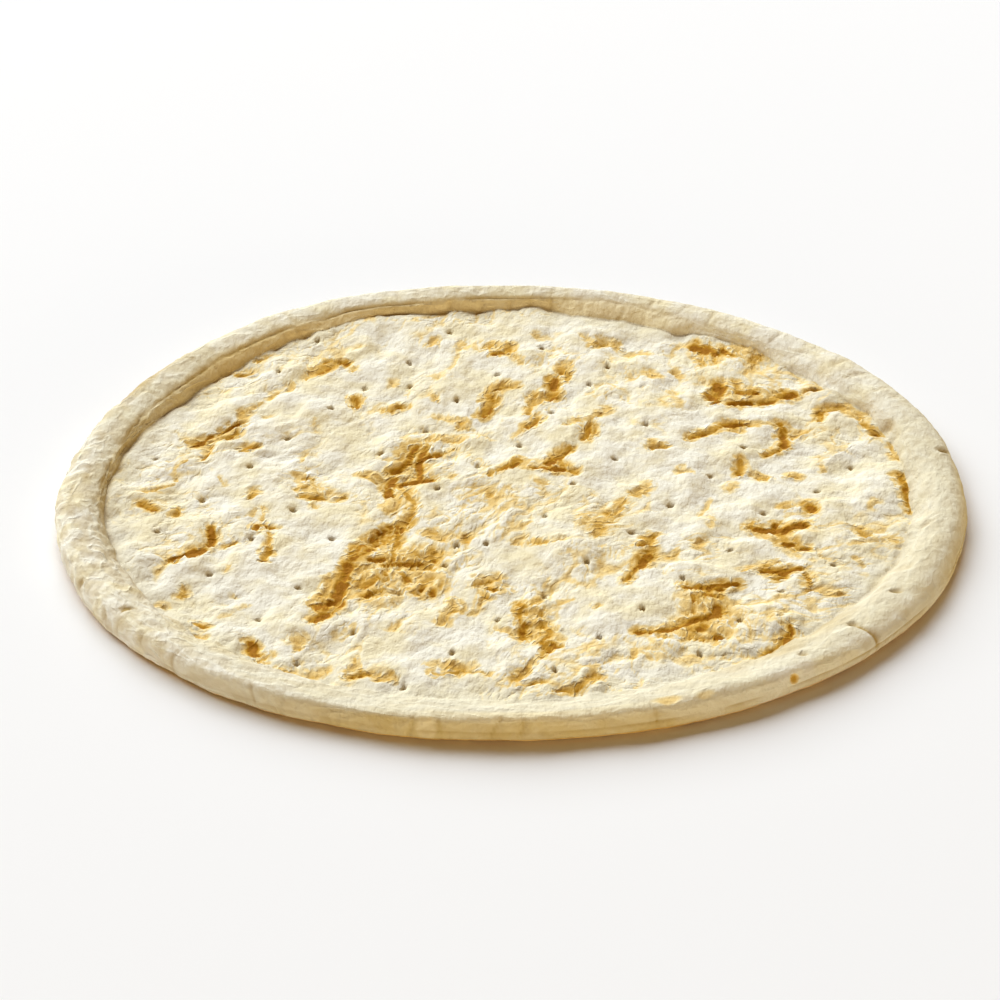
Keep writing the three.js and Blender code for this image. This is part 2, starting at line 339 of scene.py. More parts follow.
# %% Creases in the middle
MIDDLE_CREASES = [
    (-44, -20, 2.2, -50, -30, 4, 0.7), (-50, -30, 4, -61, -47, 4.6, 0.85),
    (-61, -47, 4.6, -69, -65, 3.6, 0.82), (-69, -65, 3.6, -73, -82, 3.1, 0.92),
    (-73, -82, 2.8, -75, -92, 2.6, 1.0), (-76, -97, 4, -80, -104, 4.5, 1.0),
    (-80, -107, 3, -84, -114, 2.5, 0.85), (-77, -78, 2, -81, -94, 2.5, 0.6),
    (-47, 5, 1.2, -43, -9, 1.3, 0.75), (-43, -9, 1.3, -44, -22, 1.4, 0.75),
    (-50, -35, 1.4, -50, -60, 1.4, 0.75), (-52, -60, 11, -58, -85, 12, 0.42),
    (-40, -60, 10, -38, -82, 10, 0.42), (-61, -60, 1.8, -55, -59, 1.9, 0.95),
    (-54, -65, 1.6, -39, -62, 1.3, 0.85), (-57, -76, 3, -63, -82, 3, 0.7),
    (-63, -90, 1.5, -54, -86, 1.3, 0.8), (-53, -72, 1.6, -52, -74, 1.5, 0.8),
    (-45, -73, 1.5, -43, -77, 1.5, 0.85), (-33, -86, 2, -33, -89, 1.8, 0.8),
    (-33, -53, 2.8, -32, -59, 2, 0.75), (-36, -36, 3.4, -29, -41, 4, 0.5),
    (-20, -36, 1.4, -19, -44, 1.7, 0.55), (-37, -80, 1.5, -39, -84, 1.4, 0.75),
    (-32, 56, 2, -36, 50, 2, 0.5), (-43, 44, 1.6, -47, 28, 1.7, 0.8), (-48, 27, 2.1, -52, 25, 2, 0.95),
    (-51, 18, 1.8, -54, 9, 2, 0.95), (-53, 5, 2, -53, -1, 2.2, 0.85), (-38, 43, 1.6, -41, 30, 1.9, 0.8),
    (-41, 30, 1.8, -40, 16, 1.6, 0.85), (-39, 33, 1.9, -30, 38, 1.5, 0.9), (-30, 38, 1.3, -25, 44, 1, 0.55),
    (-48, 11, 1.7, -36, 13, 1.9, 1.0), (-44, 42, 5.5, -44, 14, 7, 0.4), (-46, 8, 5, -44, -2, 3, 0.38),
    (-31, 53, 3, -24, 53, 2.6, 0.42), (-50, -5, 2.6, -54, -14, 3.5, 0.52), (-8, 96, 3.2, -9, 87, 3.6, 0.75),
    (-9, 87, 3.2, -12, 78, 2.6, 0.8), (1, 106, 2.8, -7, 102, 2.4, 0.65), (-21, 70, 2.2, -20, 65, 2.4, 0.6),
    (-33, 76, 2, -22, 72, 3, 0.33), (-35, 95, 1.8, -33, 90, 1.3, 0.5), (-55, 82, 2, -50, 87, 2, 0.7),
    (-53, 110, 2, -54, 105, 1.6, 0.35), (-35, 153, 1.8, -36, 148, 2, 0.5),
    (-34, 116, 2.4, -33, 114, 2, 0.3), (-22, 155, 1, -27, 122, 1, 0.3), (-18, 150, 5, -12, 146, 5, 0.22),
    (-8, 146, 1.8, -6, 151, 1.6, 0.6), (1, 149, 1.8, 1, 140, 2, 0.75), (-7, 137, 2, -2, 139, 2.2, 0.8),
    (3, 135, 1.4, 7, 127, 1.4, 0.4), (26, 126, 2.6, 25, 120, 3, 0.6), (29, 118, 1.6, 27, 112, 1.6, 0.65),
    (21, 112, 2.4, 20, 103, 2.8, 1.0), (20, 98, 4, 20, 94, 3, 0.8), (12, 98, 1.6, 10, 80, 1.7, 0.6),
    (16, 95, 1.6, 13, 88, 2, 0.6), (10, 84, 1.4, 9, 75, 1.4, 0.55), (14, 72, 1.6, 9, 64, 1.9, 0.75),
    (6, 61, 1.1, 3, 55, 1, 0.35), (14, 160, 2.4, 17, 156, 2, 0.3), (42, 146, 2.4, 46, 150, 2.4, 0.6),
    (50, 151, 1.8, 52, 146, 1.8, 0.55), (36, 153, 1.5, 38, 151, 1.5, 0.35), (58, 139, 3, 66, 140, 3, 0.35),
    (58, 116, 1.6, 59, 113, 1.4, 0.4), (25, 64, 1.2, 28, 65, 1.6, 0.4), (30, 69, 1.7, 31, 68, 1.6, 0.5),
    (46, 81, 2, 45, 78, 1.4, 0.5), (42, 76, 1.5, 36, 68, 1.6, 0.5), (37, 65, 1.6, 34, 52, 1.6, 0.65),
    (39, 62, 1.2, 37, 50, 1.2, 0.55), (27, 42, 1.7, 22, 35, 2.6, 0.7), (22, 35, 2.6, 19, 30, 3, 0.9),
    (23, 31, 1.6, 24, 27, 1.6, 0.7), (11, 24, 1.5, 25, 23, 1.7, 1.0), (1, 27, 2.1, -5, 21, 1.9, 0.8),
    (5, 33, 2.1, 2, 26, 2.5, 0.8), (-5, 21, 1.7, -10, 17, 1.4, 0.6), (28, 22, 1.6, 30, 20, 1.6, 0.7),
    (5, 29, 5, 22, 29, 5, 0.3), (14, 12, 2, 17, 10, 1.6, 0.38), (-10, 2, 1.7, -9, -3, 1.6, 0.5),
    (-25, 17, 1.7, -27, 13, 1.4, 0.35), (-20, -7, 1, -14, -1, 1, 0.35), (-6, -8, 1.8, -4, -10, 1.6, 0.28),
    (57, -1, 3, 62, 4, 3, 0.5), (50, -8, 1.6, 43, -22, 1.9, 0.6), (49, -15, 1.1, 44, -28, 1.2, 0.6),
    (40, -25, 2.2, 38, -40, 2, 0.58), (35, -23, 1.6, 34, -30, 1.4, 0.45), (5, -31, 1.2, 10, -27, 1.1, 0.4),
    (4, -42, 1.7, 6, -40, 1.3, 0.4), (11, -46, 2.5, 15, -47, 2, 0.62), (19, -48, 1.6, 24, -46, 1.3, 0.42),
    (3, -45, 1.7, 4, -46, 1.6, 0.4), (-8, -77, 2.5, -4, -74, 2, 0.52), (-15, -83, 1.4, -10, -78, 1.3, 0.5),
    (-8, -85, 1.7, -5, -86, 1.7, 0.8), (-10, -90, 1.3, -8, -92, 1.3, 0.6), (-12, -82, 5, -3, -84, 4, 0.28),
    (-24, -97, 2.1, -23, -103, 2.5, 0.58), (-26, -106, 1.7, -29, -116, 1.6, 0.5),
    (-16, -105, 1, -9, -92, 1, 0.42), (-49, -119, 1.4, -50, -123, 1.2, 0.42),
    (-25, -151, 3.2, -19, -154, 3, 0.52), (-31, -157, 1, -22, -158, 1, 0.7),
    (-30, -149, 2.2, -32, -150, 2, 0.35), (-17, -156, 0.9, -8, -161, 0.9, 0.45),
    (-15, -150, 1.7, -14, -152, 1.6, 0.4), (5, -98, 1.6, 7, -99, 1.4, 0.7),
    (10, -96, 1.3, 13, -94, 1.2, 0.6), (5, -102, 1.1, 5, -113, 1.3, 0.75), (6, -114, 2, 5, -128, 2, 0.95),
    (11, -103, 1.7, 14, -106, 1.6, 0.6), (14, -113, 1.5, 14, -115, 1.5, 0.7),
    (17, -119, 2.5, 17, -125, 1.7, 0.8), (15, -127, 1.2, 14, -130, 1.2, 0.7),
    (18, -132, 2.5, 19, -135, 2.5, 0.9), (13, -132, 2, 16, -138, 2.5, 0.7),
    (14, -140, 1.4, 14, -146, 1.2, 0.6), (9, -150, 1.4, 8, -158, 1.4, 0.62),
    (5, -160, 2.4, 4, -164, 2, 0.68), (10, -168, 1.4, 12, -166, 1.4, 0.62), (3, -170, 1, 9, -169, 1, 0.5),
    (8, -105, 4.5, 14, -126, 6.5, 0.42), (-6, -119, 1.7, 1, -122, 2.2, 0.42),
    (20, -173, 1.7, 26, -173, 2, 0.55), (26, -173, 2, 36, -160, 1.7, 0.62), (22, -97, 2, 26, -96, 2, 0.35),
    (37, -103, 1.3, 38, -101, 1.2, 0.38), (18, -178, 2, 26, -178, 1.6, 0.25),
]
print(len(MIDDLE_CREASES), "strokes in the middle")

# %% Creases on the right
RIGHT_CREASES = [
    (95, 93, 3.6, 99, 104, 3, 0.95), (97, 89, 2, 95, 86, 1.6, 0.8), (104, 87, 2, 113, 89, 2.1, 0.95),
    (118, 89, 2.6, 131, 95, 3.6, 0.82), (108, 97, 2.1, 116, 98, 2, 0.8), (107, 105, 1.4, 108, 98, 1.6, 0.7),
    (139, 97, 2.2, 145, 98, 2, 0.5), (105, 82, 1.2, 106, 85, 1.2, 0.5), (100, 95, 6, 128, 93, 5, 0.35),
    (89, 145, 3, 95, 141, 4, 0.95), (95, 143, 3, 98, 137, 2.2, 0.85), (102, 141, 1.8, 106, 134, 1.8, 0.85),
    (90, 131, 1.6, 90, 126, 1.4, 0.7), (97, 131, 1.8, 98, 127, 1.6, 0.65), (110, 145, 3, 114, 138, 3, 0.45),
    (118, 134, 1.6, 116, 128, 1.8, 0.7), (114, 122, 1.8, 112, 116, 1.4, 0.4),
    (95, 137, 7, 108, 137, 6, 0.36), (83, 146, 2, 81, 143, 1.6, 0.35), (67, 117, 2, 69, 114, 1.7, 0.5),
    (78, 120, 1.6, 82, 114, 1.5, 0.42), (77, 97, 1.8, 79, 94, 1.6, 0.45), (84, 53, 1.7, 97, 62, 2.1, 0.75),
    (98, 64, 2.1, 108, 65, 2.6, 0.85), (103, 60, 2, 105, 59, 1.8, 0.6), (112, 64, 1.4, 114, 64, 1.3, 0.5),
    (119, 65, 1.2, 124, 64, 1.2, 0.4), (125, 66, 1.3, 126, 58, 1.4, 0.75),
    (126, 56, 1.6, 126, 46, 2.1, 0.85), (124, 44, 1.7, 118, 38, 1.7, 0.72),
    (131, 58, 2.5, 137, 59, 1.7, 0.5), (66, 43, 2.6, 70, 42, 2.5, 0.6), (64, 47, 1.6, 65, 46, 1.5, 0.5),
    (105, 30, 1.2, 105, 20, 2.2, 0.7), (113, 16, 2.5, 116, 14, 2, 0.55), (79, 19, 2.4, 80, 17, 2.2, 0.48),
    (128, 17, 2.2, 130, 16, 2, 0.52), (100, 10, 2, 99, 5, 2, 0.42), (143, 69, 1.4, 145, 79, 1.7, 0.7),
    (147, 80, 3, 155, 82, 3, 0.55), (155, 80, 2.2, 163, 73, 2.5, 0.5), (164, 66, 1.7, 168, 55, 1.9, 0.7),
    (173, 46, 1, 176, 32, 1, 0.5), (142, 22, 1.2, 141, 28, 1, 0.33), (63, 8, 2.4, 62, 4, 2.4, 0.42),
    (63, -37, 1.7, 59, -47, 1.9, 0.72), (61, -56, 2.1, 56, -68, 2.6, 0.95),
    (55, -70, 1.9, 51, -78, 1.6, 0.72), (62, -40, 1.6, 64, -49, 1.4, 0.68),
    (132, -12, 2.4, 135, -16, 2, 0.8), (122, -12, 1.8, 124, -11, 1.6, 0.5),
    (109, -35, 2, 120, -35, 2.4, 1.0), (120, -35, 3, 130, -29, 3.2, 1.0),
    (118, -28, 1.6, 116, -33, 1.4, 0.78), (107, -29, 1.2, 106, -34, 1.2, 0.68),
    (119, -38, 3, 121, -46, 2.6, 0.8), (121, -49, 2.1, 124, -50, 2.1, 0.95),
    (127, -52, 2.5, 131, -52, 2, 0.78), (111, -38, 4.5, 121, -43, 4.5, 0.4),
    (122, -55, 1.8, 124, -59, 1.6, 0.3), (135, -33, 0.9, 150, -31, 0.9, 0.3),
    (153, -34, 1.7, 157, -40, 2.1, 0.58), (148, -49, 1.6, 160, -44, 1.6, 0.35),
    (168, -42, 2.1, 171, -46, 1.7, 0.5), (150, -60, 1.3, 155, -66, 1.4, 0.4),
    (101, -72, 1, 106, -68, 1, 0.52), (110, -70, 1.7, 118, -70, 2.6, 0.85),
    (112, -66, 1.3, 116, -64, 1.2, 0.6), (117, -71, 2.6, 126, -70, 1.7, 0.8),
    (114, -77, 1.7, 118, -75, 1.6, 0.68), (128, -75, 1.4, 129, -85, 1.5, 0.82),
    (127, -88, 1.3, 136, -91, 1.7, 0.55), (136, -92, 2.2, 143, -92, 2.2, 0.48),
    (84, -46, 2.4, 83, -50, 2.4, 0.48), (72, -57, 1.9, 74, -54, 1.4, 0.48),
    (88, -25, 1.6, 89, -32, 1.4, 0.38), (90, -5, 1.2, 84, -22, 1.1, 0.33),
    (163, -13, 1.6, 161, -18, 1.3, 0.35), (176, 14, 2.1, 177, 1, 2.4, 0.85),
    (176, 1, 2.2, 177, -12, 2, 0.85), (178, -15, 1.4, 178, -17, 1.3, 0.8),
    (75, -88, 1.7, 98, -84, 1.5, 0.85), (80, -88, 1.4, 92, -88, 1.3, 0.8), (84, -93, 3, 89, -94, 2.1, 0.85),
    (78, -95, 1.7, 79, -98, 1.4, 0.7), (90, -103, 2.5, 90, -109, 2.5, 1.0),
    (89, -110, 2.6, 82, -113, 2.1, 0.95), (82, -113, 2.2, 70, -118, 2.1, 0.9),
    (68, -119, 1.7, 54, -123, 1.9, 0.82), (79, -120, 3, 82, -119, 3, 0.9),
    (87, -127, 2.1, 89, -128, 2, 0.85), (75, -128, 1.4, 81, -129, 1.3, 0.7),
    (88, -133, 1.2, 88, -136, 1.1, 0.55), (66, -127, 1.8, 63, -126, 1.7, 0.48),
    (86, -97, 9, 85, -122, 9, 0.42), (72, -122, 5.5, 84, -124, 5.5, 0.4), (75, -95, 3.2, 77, -106, 3, 0.35),
    (118, -119, 1.1, 118, -126, 1.7, 0.85), (117, -129, 2.5, 116, -134, 2.1, 0.85),
    (115, -138, 2.1, 109, -142, 2.1, 0.75), (109, -142, 1.9, 104, -149, 1.4, 0.75),
    (124, -129, 1.7, 126, -131, 1.6, 0.38), (111, -112, 1.2, 111, -114, 1.2, 0.4),
    (115, -110, 1.3, 115, -112, 1.2, 0.5), (54, -138, 1.3, 52, -145, 2, 0.38),
    (61, -145, 4, 60, -142, 4, 0.28), (129, -97, 2, 131, -107, 2, 0.3),
]
print(len(RIGHT_CREASES), "strokes on the right")

# %% Marks of the strokes
HALF_WIDTHS = [2, 5]
LEFT_NARROWING = 0.86
WIDE_STROKE = 4.0
HALO_REACH = 5.0
FAR_OUTSIDE = -4.0
AWAY_FROM_LAMP = (0.3, -0.95)
CREASES = np.array(LEFT_CREASES + MIDDLE_CREASES + RIGHT_CREASES)
# The strokes on the left were drawn a little too wide.
CREASES[: len(LEFT_CREASES), HALF_WIDTHS] *= LEFT_NARROWING
is_wide = CREASES[:, HALF_WIDTHS].mean(axis=1) >= WIDE_STROKE


def stroke_marks(rows, x, y):
    """Depth, toast, lean, halo and own place at points x, y, by the stroke that each point lies deepest in.

    Depth is 1 on the stroke's line, 0 at its edge and below 0 outside. Lean runs from -1 on the side towards
    the lamp to 1 on the other. The halo fades over a few millimetres. The own place is the distance along
    the stroke and across it, and the stroke's number.
    """
    toast, lean, halo, along, across, number = np.zeros((6, len(x)))
    depth = np.full(len(x), FAR_OUTSIDE)
    for i, (ax, ay, a_half, bx, by, b_half, dark) in enumerate(rows):
        run = np.array([bx - ax, by - ay])
        length = np.hypot(*run)
        forth = ((x - ax) * run[0] + (y - ay) * run[1]) / length
        share = np.clip(forth / length, 0, 1)
        half = a_half + share * (b_half - a_half)
        to_x = x - ax - share * run[0]
        to_y = y - ay - share * run[1]
        away = np.hypot(to_x, to_y)
        deeper = 1 - away / half > depth
        side = np.clip((to_x * AWAY_FROM_LAMP[0] + to_y * AWAY_FROM_LAMP[1]) / half, -1, 1)
        depth = np.where(deeper, 1 - away / half, depth)
        toast = np.where(deeper, dark, toast)
        lean = np.where(deeper, side, lean)
        along = np.where(deeper, forth, along)
        across = np.where(deeper, ((y - ay) * run[0] - (x - ax) * run[1]) / length, across)
        number = np.where(deeper, i, number)
        halo = np.maximum(halo, dark * ease(1 - (away - half) / HALO_REACH))
    return depth, toast, lean, halo, np.stack([along, across, number], axis=1)


print(len(CREASES), "strokes in all,", is_wide.sum(), "of them the ground of a patch")

# %% [markdown]
# Dock holes
#
# A spiked roller pricks the dough before baking. Its pins leave slanting rows of small holes, and the dough
# is stretched afterwards, which pulls them out of line. An even grid would miss most of them, so they are
# listed as they lie, in rough rows from the back left to the front right.

# %% Where the pins went in
DOCK_ROWS = (
    ((-160, 34), (-108, 117), (-91, 150)),
    ((-155, -35), (-137, -4), (-117, 25), (-101, 54), (-82, 79), (-67, 104), (-47, 130), (-28, 162)),
    ((-148, -98), (-130, -72), (-113, -41), (-96, -15), (-58, 38), (-38, 62), (-24, 92)),
    ((-46, 107), (-5, 116), (16, 144)),
    ((-107, -110), (-91, -84), (-78, -40), (-32, 3), (-14, 25), (5, 48), (20, 77), (38, 106), (47, 123)),
    ((-89, -149), (-66, -123), (-47, -89), (-28, -66), (-23, -47), (-10, -46), (16, -22), (29, 8), (48, 32)),
    ((63, 63), (91, 16), (107, 41), (143, 97)),
    ((-44, -168), (-24, -141), (-5, -113), (15, -90), (34, -64), (54, -36), (72, -11)),
    ((113, -20), (138, 0), (155, 26), (168, 55)),
    ((19, -158), (38, -128), (57, -104), (75, -79), (97, -54)),
    ((61, -169), (80, -142), (98, -115), (117, -91), (141, -67)),
)
DOCK_HOLES = np.concatenate([np.array(row, float) for row in DOCK_ROWS])
print(len(DOCK_HOLES), "dock holes")

# %% [markdown]
# The field as a grid
#
# The field is a disc, and a grid of rings would crowd its points in the middle. Drawing a square grid out to
# a disc keeps the cells nearly equal: squares round the middle become rings. The points near a pin are then
# drawn in towards it, so that a hole a few millimetres wide has enough of them for a clean edge.

# %% Square grid drawn out to a disc
CELLS_ACROSS = 300
CELLS_DEEP = 200
PULL_RADIUS = 6.0
PULL_POWER = 1.6
PULL_WITHIN = 0.96


def disc_grid(cells_across, cells_deep):
    """The larger of |u| and |v| is the share of the radius; the other over it is an eighth of a turn."""
    u, v = np.meshgrid(np.linspace(-1, 1, cells_across + 1), np.linspace(-1, 1, cells_deep + 1))
    sideways = np.abs(u) >= np.abs(v)
    share = np.where(sideways, np.abs(u), np.abs(v))
    long, short = np.where(sideways, u, v), np.where(sideways, v, u)
    ratio = np.divide(short, long, out=np.zeros_like(u), where=share > 0)
    across = np.where(u >= 0, 0, np.pi) + ratio * np.pi / 4
    upright = np.where(v >= 0, np.pi / 2, -np.pi / 2) - ratio * np.pi / 4
    return share.ravel(), np.where(sideways, across, upright).ravel()


def pin_distance(x, y):
    """Distance to the nearest pin, and which pin that is."""
    away = np.hypot(x[:, None] - DOCK_HOLES[:, 0], y[:, None] - DOCK_HOLES[:, 1])
    nearest = away.argmin(axis=1)
    return away[np.arange(len(x)), nearest], nearest


grid_share, grid_angle = disc_grid(CELLS_ACROSS, CELLS_DEEP)
foot_radius = rim_points(grid_angle)[:, 0, 0]
field_x = grid_share * foot_radius * np.cos(grid_angle)
field_y = grid_share * foot_radius * np.sin(grid_angle)
pin_away, pin_near = pin_distance(field_x, field_y)
drawn_in = np.clip(pin_away / PULL_RADIUS, 1e-6, 1) ** (PULL_POWER - 1)
pull = np.where(grid_share < PULL_WITHIN, drawn_in, 1)
pin_xy = DOCK_HOLES[pin_near]
field_x = pin_xy[:, 0] + (field_x - pin_xy[:, 0]) * pull
field_y = pin_xy[:, 1] + (field_y - pin_xy[:, 1]) * pull
print(len(field_x), "points on the field")

# %% [markdown]
# Relief of the field
#
# The skin is puffed into soft pillows with sharp folds between them, drawn out along the grain of the dough.
# The size of gradient noise, taken without its sign, has just that form: round hills, sharp valleys. The
# plane is bent by finer noise first, so that no fold and no stroke has a ruled edge. The toasted strokes
# sink below that skin and are crumpled along their own length, with sharp ridges that stay pale, partly as
# a painted highlight on the lit crests. A displacement texture could lift the mesh too, but heights that
# are worked out point by point also tell the colours where the folds and the edges are.

# %% Folds of the skin
SOFT_FOLDS = ((26, 1.7), (13, 2.0))
SHARP_FOLDS = ((18, 10, 2.0), (10, 5.8, 1.6), (5.8, 3.6, 0.8))
BEND_SIZES = ((18, 2.0), (8, 1.4), (4, 0.6))
SOFT_SEED = 60
SHARP_SEED = 64
SKIN_STRETCH = 0.7
SMOOTH_SHARE = 0.3
FOLD_TOP = 0.5
FOLD_WIDTH = 0.1
FINER_FAINTER = 0.2


def bend_plane(x, y, seed, reach):
    """The plane shifted by noise of several sizes, for wavy and torn edges."""
    shifts = [
        sum(reach * far * hills(x, y, size, seed + 10 * axis + i) for i, (size, far) in enumerate(BEND_SIZES))
        for axis in (0, 1)
    ]
    return x + shifts[0], y + shifts[1]


def skin(x, y, creased):
    """Height of the skin, soft noise and creases where noise crosses zero, and how deep in a crease it is."""
    soft = enumerate(SOFT_FOLDS)
    height = sum(rise * hills(x, SKIN_STRETCH * y, size, SOFT_SEED + i) for i, (size, rise) in soft)
    strength = SMOOTH_SHARE + (1 - SMOOTH_SHARE) * creased
    fold = np.zeros_like(x)
    for i, (long, wide, rise) in enumerate(SHARP_FOLDS):
        line = np.abs(grain_noise(x, y, long, wide, SHARP_SEED + i))
        height += rise * strength * (np.minimum(line, FOLD_TOP) - FOLD_TOP / 2)
        fold = np.maximum(fold, (1 - FINER_FAINTER * i) * np.exp(-((line / FOLD_WIDTH) ** 2)))
    return height, fold


folded_skin, _ = skin(field_x, field_y, np.ones_like(field_x))
print("skin creased all over is from", folded_skin.min().round(1), "to", folded_skin.max().round(1), "mm")

# %% Strokes laid on the field
TORN_SEED = 70
TORN_REACH = 0.8
EDGE_OUTSIDE = 0.3
EDGE_WIDTH = 0.8
UNEVEN_SEED = 97
UNEVEN_SIZE = 8
UNEVEN_SHARE = 0.25
SINK_GAIN = 1.7
SMOOTH_FROM = 0.45
SMOOTH_OVER = 0.3
SMOOTHED_SHARE = 0.7


def inside_edge(depth):
    """1 inside a stroke, easing to 0 a little outside its edge."""
    return ease((EDGE_OUTSIDE + depth) / EDGE_WIDTH)


torn_x, torn_y = bend_plane(field_x, field_y, TORN_SEED, TORN_REACH)
ground_depth, ground_toast, _, ground_halo, _ = stroke_marks(CREASES[is_wide], torn_x, torn_y)
stroke_depth, stroke_toast, lean, stroke_halo, stroke_place = stroke_marks(CREASES[~is_wide], torn_x, torn_y)
halo = np.maximum(stroke_halo, ground_halo)
uneven = 1.0 + UNEVEN_SHARE * hills(field_x, field_y, UNEVEN_SIZE, UNEVEN_SEED)
dark = uneven * np.maximum(stroke_toast * inside_edge(stroke_depth), ground_toast * inside_edge(ground_depth))
sunk = ease(dark * SINK_GAIN)
baked_smooth = ease((dark - SMOOTH_FROM) / SMOOTH_OVER)
crumpled = sunk * (1 - SMOOTHED_SHARE * baked_smooth)
print("sunken share of the field:", (sunk > 0.5).mean().round(3))

# %% Ridges along the strokes
CRUMPLE_SIZES = ((13, 5.0, 1.5), (7, 3.0, 0.9))
CRUMPLE_SEED = 90
STROKES_APART = 0.37
RIDGE_WIDTH = 0.3
RIDGE_LEVEL = 0.4


def crumple(own_place):
    """Height of the sharp ridges along a stroke, where noise crosses zero, and how near one a point is."""
    height = np.zeros(len(own_place))
    ridge = np.zeros(len(own_place))
    for i, (long, wide, rise) in enumerate(CRUMPLE_SIZES):
        line = np.abs(gradient_noise(own_place / (long, wide, STROKES_APART), CRUMPLE_SEED + i))
        crest = np.clip(1 - line / RIDGE_WIDTH, 0, 1)
        height += rise * (crest - RIDGE_LEVEL)
        ridge = np.maximum(ridge, (1 - FINER_FAINTER * i) * crest)
    return height, ridge


ridge_height, ridge_near = crumple(stroke_place)
print("ridges from", ridge_height.min().round(2), "to", ridge_height.max().round(2), "mm")

# %% Height of the field
FIELD_HEIGHT = 6.0
SWELL_HEIGHT = 0.45
SWELL_LENGTHS = (29, 34, 23)
SINK_DEPTH = 2.2
PATCH_SIZE = (55, 28)
PATCH_DETAIL = 11
PATCH_SEEDS = (95, 96)
WRINKLE_SEED = 40
WRINKLE_REACH = 1.5

near_stroke = ease(1.4 * halo)
round_stroke = ease(1.5 * halo)
patch_noise = 1.5 * grain_noise(field_x, field_y, *PATCH_SIZE, PATCH_SEEDS[0])
crease_patches = ease(0.36 + patch_noise + 0.7 * hills(field_x, field_y, PATCH_DETAIL, PATCH_SEEDS[1]))
creased = np.maximum(0.7 * crease_patches, near_stroke)
relief, fold = skin(*bend_plane(field_x, field_y, WRINKLE_SEED, WRINKLE_REACH), creased)
swell = np.sin(field_x / SWELL_LENGTHS[0] + 0.8) * np.cos(field_y / SWELL_LENGTHS[1] - 0.5)
swell = swell + 0.7 * np.sin((field_x + field_y) / SWELL_LENGTHS[2] + 2.1)
field_z = FIELD_HEIGHT + SWELL_HEIGHT * swell + relief * (1 - 0.5 * round_stroke)
field_z += ridge_height * (0.8 * crumpled + 0.5 * round_stroke * (1 - sunk))
# A stroke is sunk most on the side away from the lamp, and more the darker it is.
field_z -= SINK_DEPTH * (0.25 * halo + sunk * (0.3 + 0.35 * lean) * (0.4 + 0.6 * dark))
print("field from", field_z.min().round(2), "to", field_z.max().round(2), "mm high")

# %% Toast of the field, with painted shade in its folds
FOLD_TINT_AND_SHADE = 0.42
HALO_TINT_AND_SHADE = 0.23
RIDGE_PALER_AND_HIGHLIGHT = 0.28
LEFT_PALER = 0.35
LINE_AT = 0.65
LINE_WIDTH = 0.25

# A dark line runs along each stroke on the side away from the lamp.
dark_line = np.exp(-(((lean - LINE_AT) / LINE_WIDTH) ** 2))
# The tan in the folds of the skin and in the halo round each stroke is partly bare dough and partly painted
# shade that warms the shadows there.
field_tint = creased * (0.05 + FOLD_TINT_AND_SHADE * fold) + 0.1 * fold
# Ridges are made paler here, in the strokes and in their ground below: partly less toast, partly a painted
# highlight on the lit crests.
field_tint += ease(1.8 * halo - 0.12) * (HALO_TINT_AND_SHADE - RIDGE_PALER_AND_HIGHLIGHT * ridge_near)
field_tint *= 1 - LEFT_PALER * ease(-(field_x + 45) / 60)
field_marks = {
    "tint": np.maximum(field_tint, 0),
    "stroke": uneven * stroke_toast * (1.15 + 0.12 * lean + 0.55 * dark_line - 0.4 * crumpled * ridge_near),
    "stroke_depth": stroke_depth,
    "ground": uneven * ground_toast * (1.35 - 0.8 * ridge_near),
    "ground_depth": ground_depth,
    "crumpled": near_stroke * (0.9 - 0.6 * baked_smooth) - 0.32 * (1 - near_stroke) * (0.35 + crease_patches),
}
print("faint toast on average:", field_marks["tint"].mean().round(3))

# %% Dock holes sunk into the field
HOLE_RADIUS = 1.25
HOLE_DEPTH = 3.6
HOLE_SHADE = 0.85
FUNNEL_RADIUS = 5.5
FUNNEL_DEPTH = 0.45
FUNNEL_SHADE = 0.06
LEAST_DOUGH = 1.2


def dock(x, y):
    """Depth of the holes, a narrow pit with a wide shallow funnel round it, and how shaded the pit is."""
    away, _ = pin_distance(x, y)
    pit = 1 - ease((away - 0.4 * HOLE_RADIUS) / (0.8 * HOLE_RADIUS))
    funnel = (1 - ease(away / FUNNEL_RADIUS)) ** 2
    shade = HOLE_SHADE * (1 - ease((away - 0.6) / 1.2)) + FUNNEL_SHADE * funnel
    return HOLE_DEPTH * pit + FUNNEL_DEPTH * funnel, shade


hole_depth, hole_shade = dock(field_x, field_y)
field_z = np.maximum(field_z - hole_depth, LEAST_DOUGH)
print("with its holes, the field is from", field_z.min().round(2), "mm high")

# %% [markdown]
# The rim as a profile carried round
#
# The rings of the rim start on the border of the field's grid, so no seam shows. Rings lie closest where the
# dough is folded over and at the lip low on the outer wall, and they wander with the fold, so that it stays
# a sharp line. The relief then moves the points along the section's outward direction.

# %% Smooth rim
RING_PLACES = np.array(
    [0, 0.3, 0.65, 1.0, 1.3, 1.55, 1.75, 1.9, 2.05, 2.25, 2.5, 2.8, 3.15, 3.5, 3.85, 4.2, 4.55, 4.9, 5.25]
    + [5.6, 5.9, 6.15, 6.3, 6.4, 6.5, 6.65, 6.9, 7.2, 7.6, 8.0]
)
FOLD_PLACE = 1.9
FOLD_REACH = 1.8
FOLD_WANDER = ((9, 0.06, 0), (23, 0.05, 30))
LIP_PLACE = 6.4
LIP_REACH = 1.5
LIP_RISE = 0.6
LIP_RISE_SIDE = (-15, 75)
LIP_RISE_FRONT = 0.45

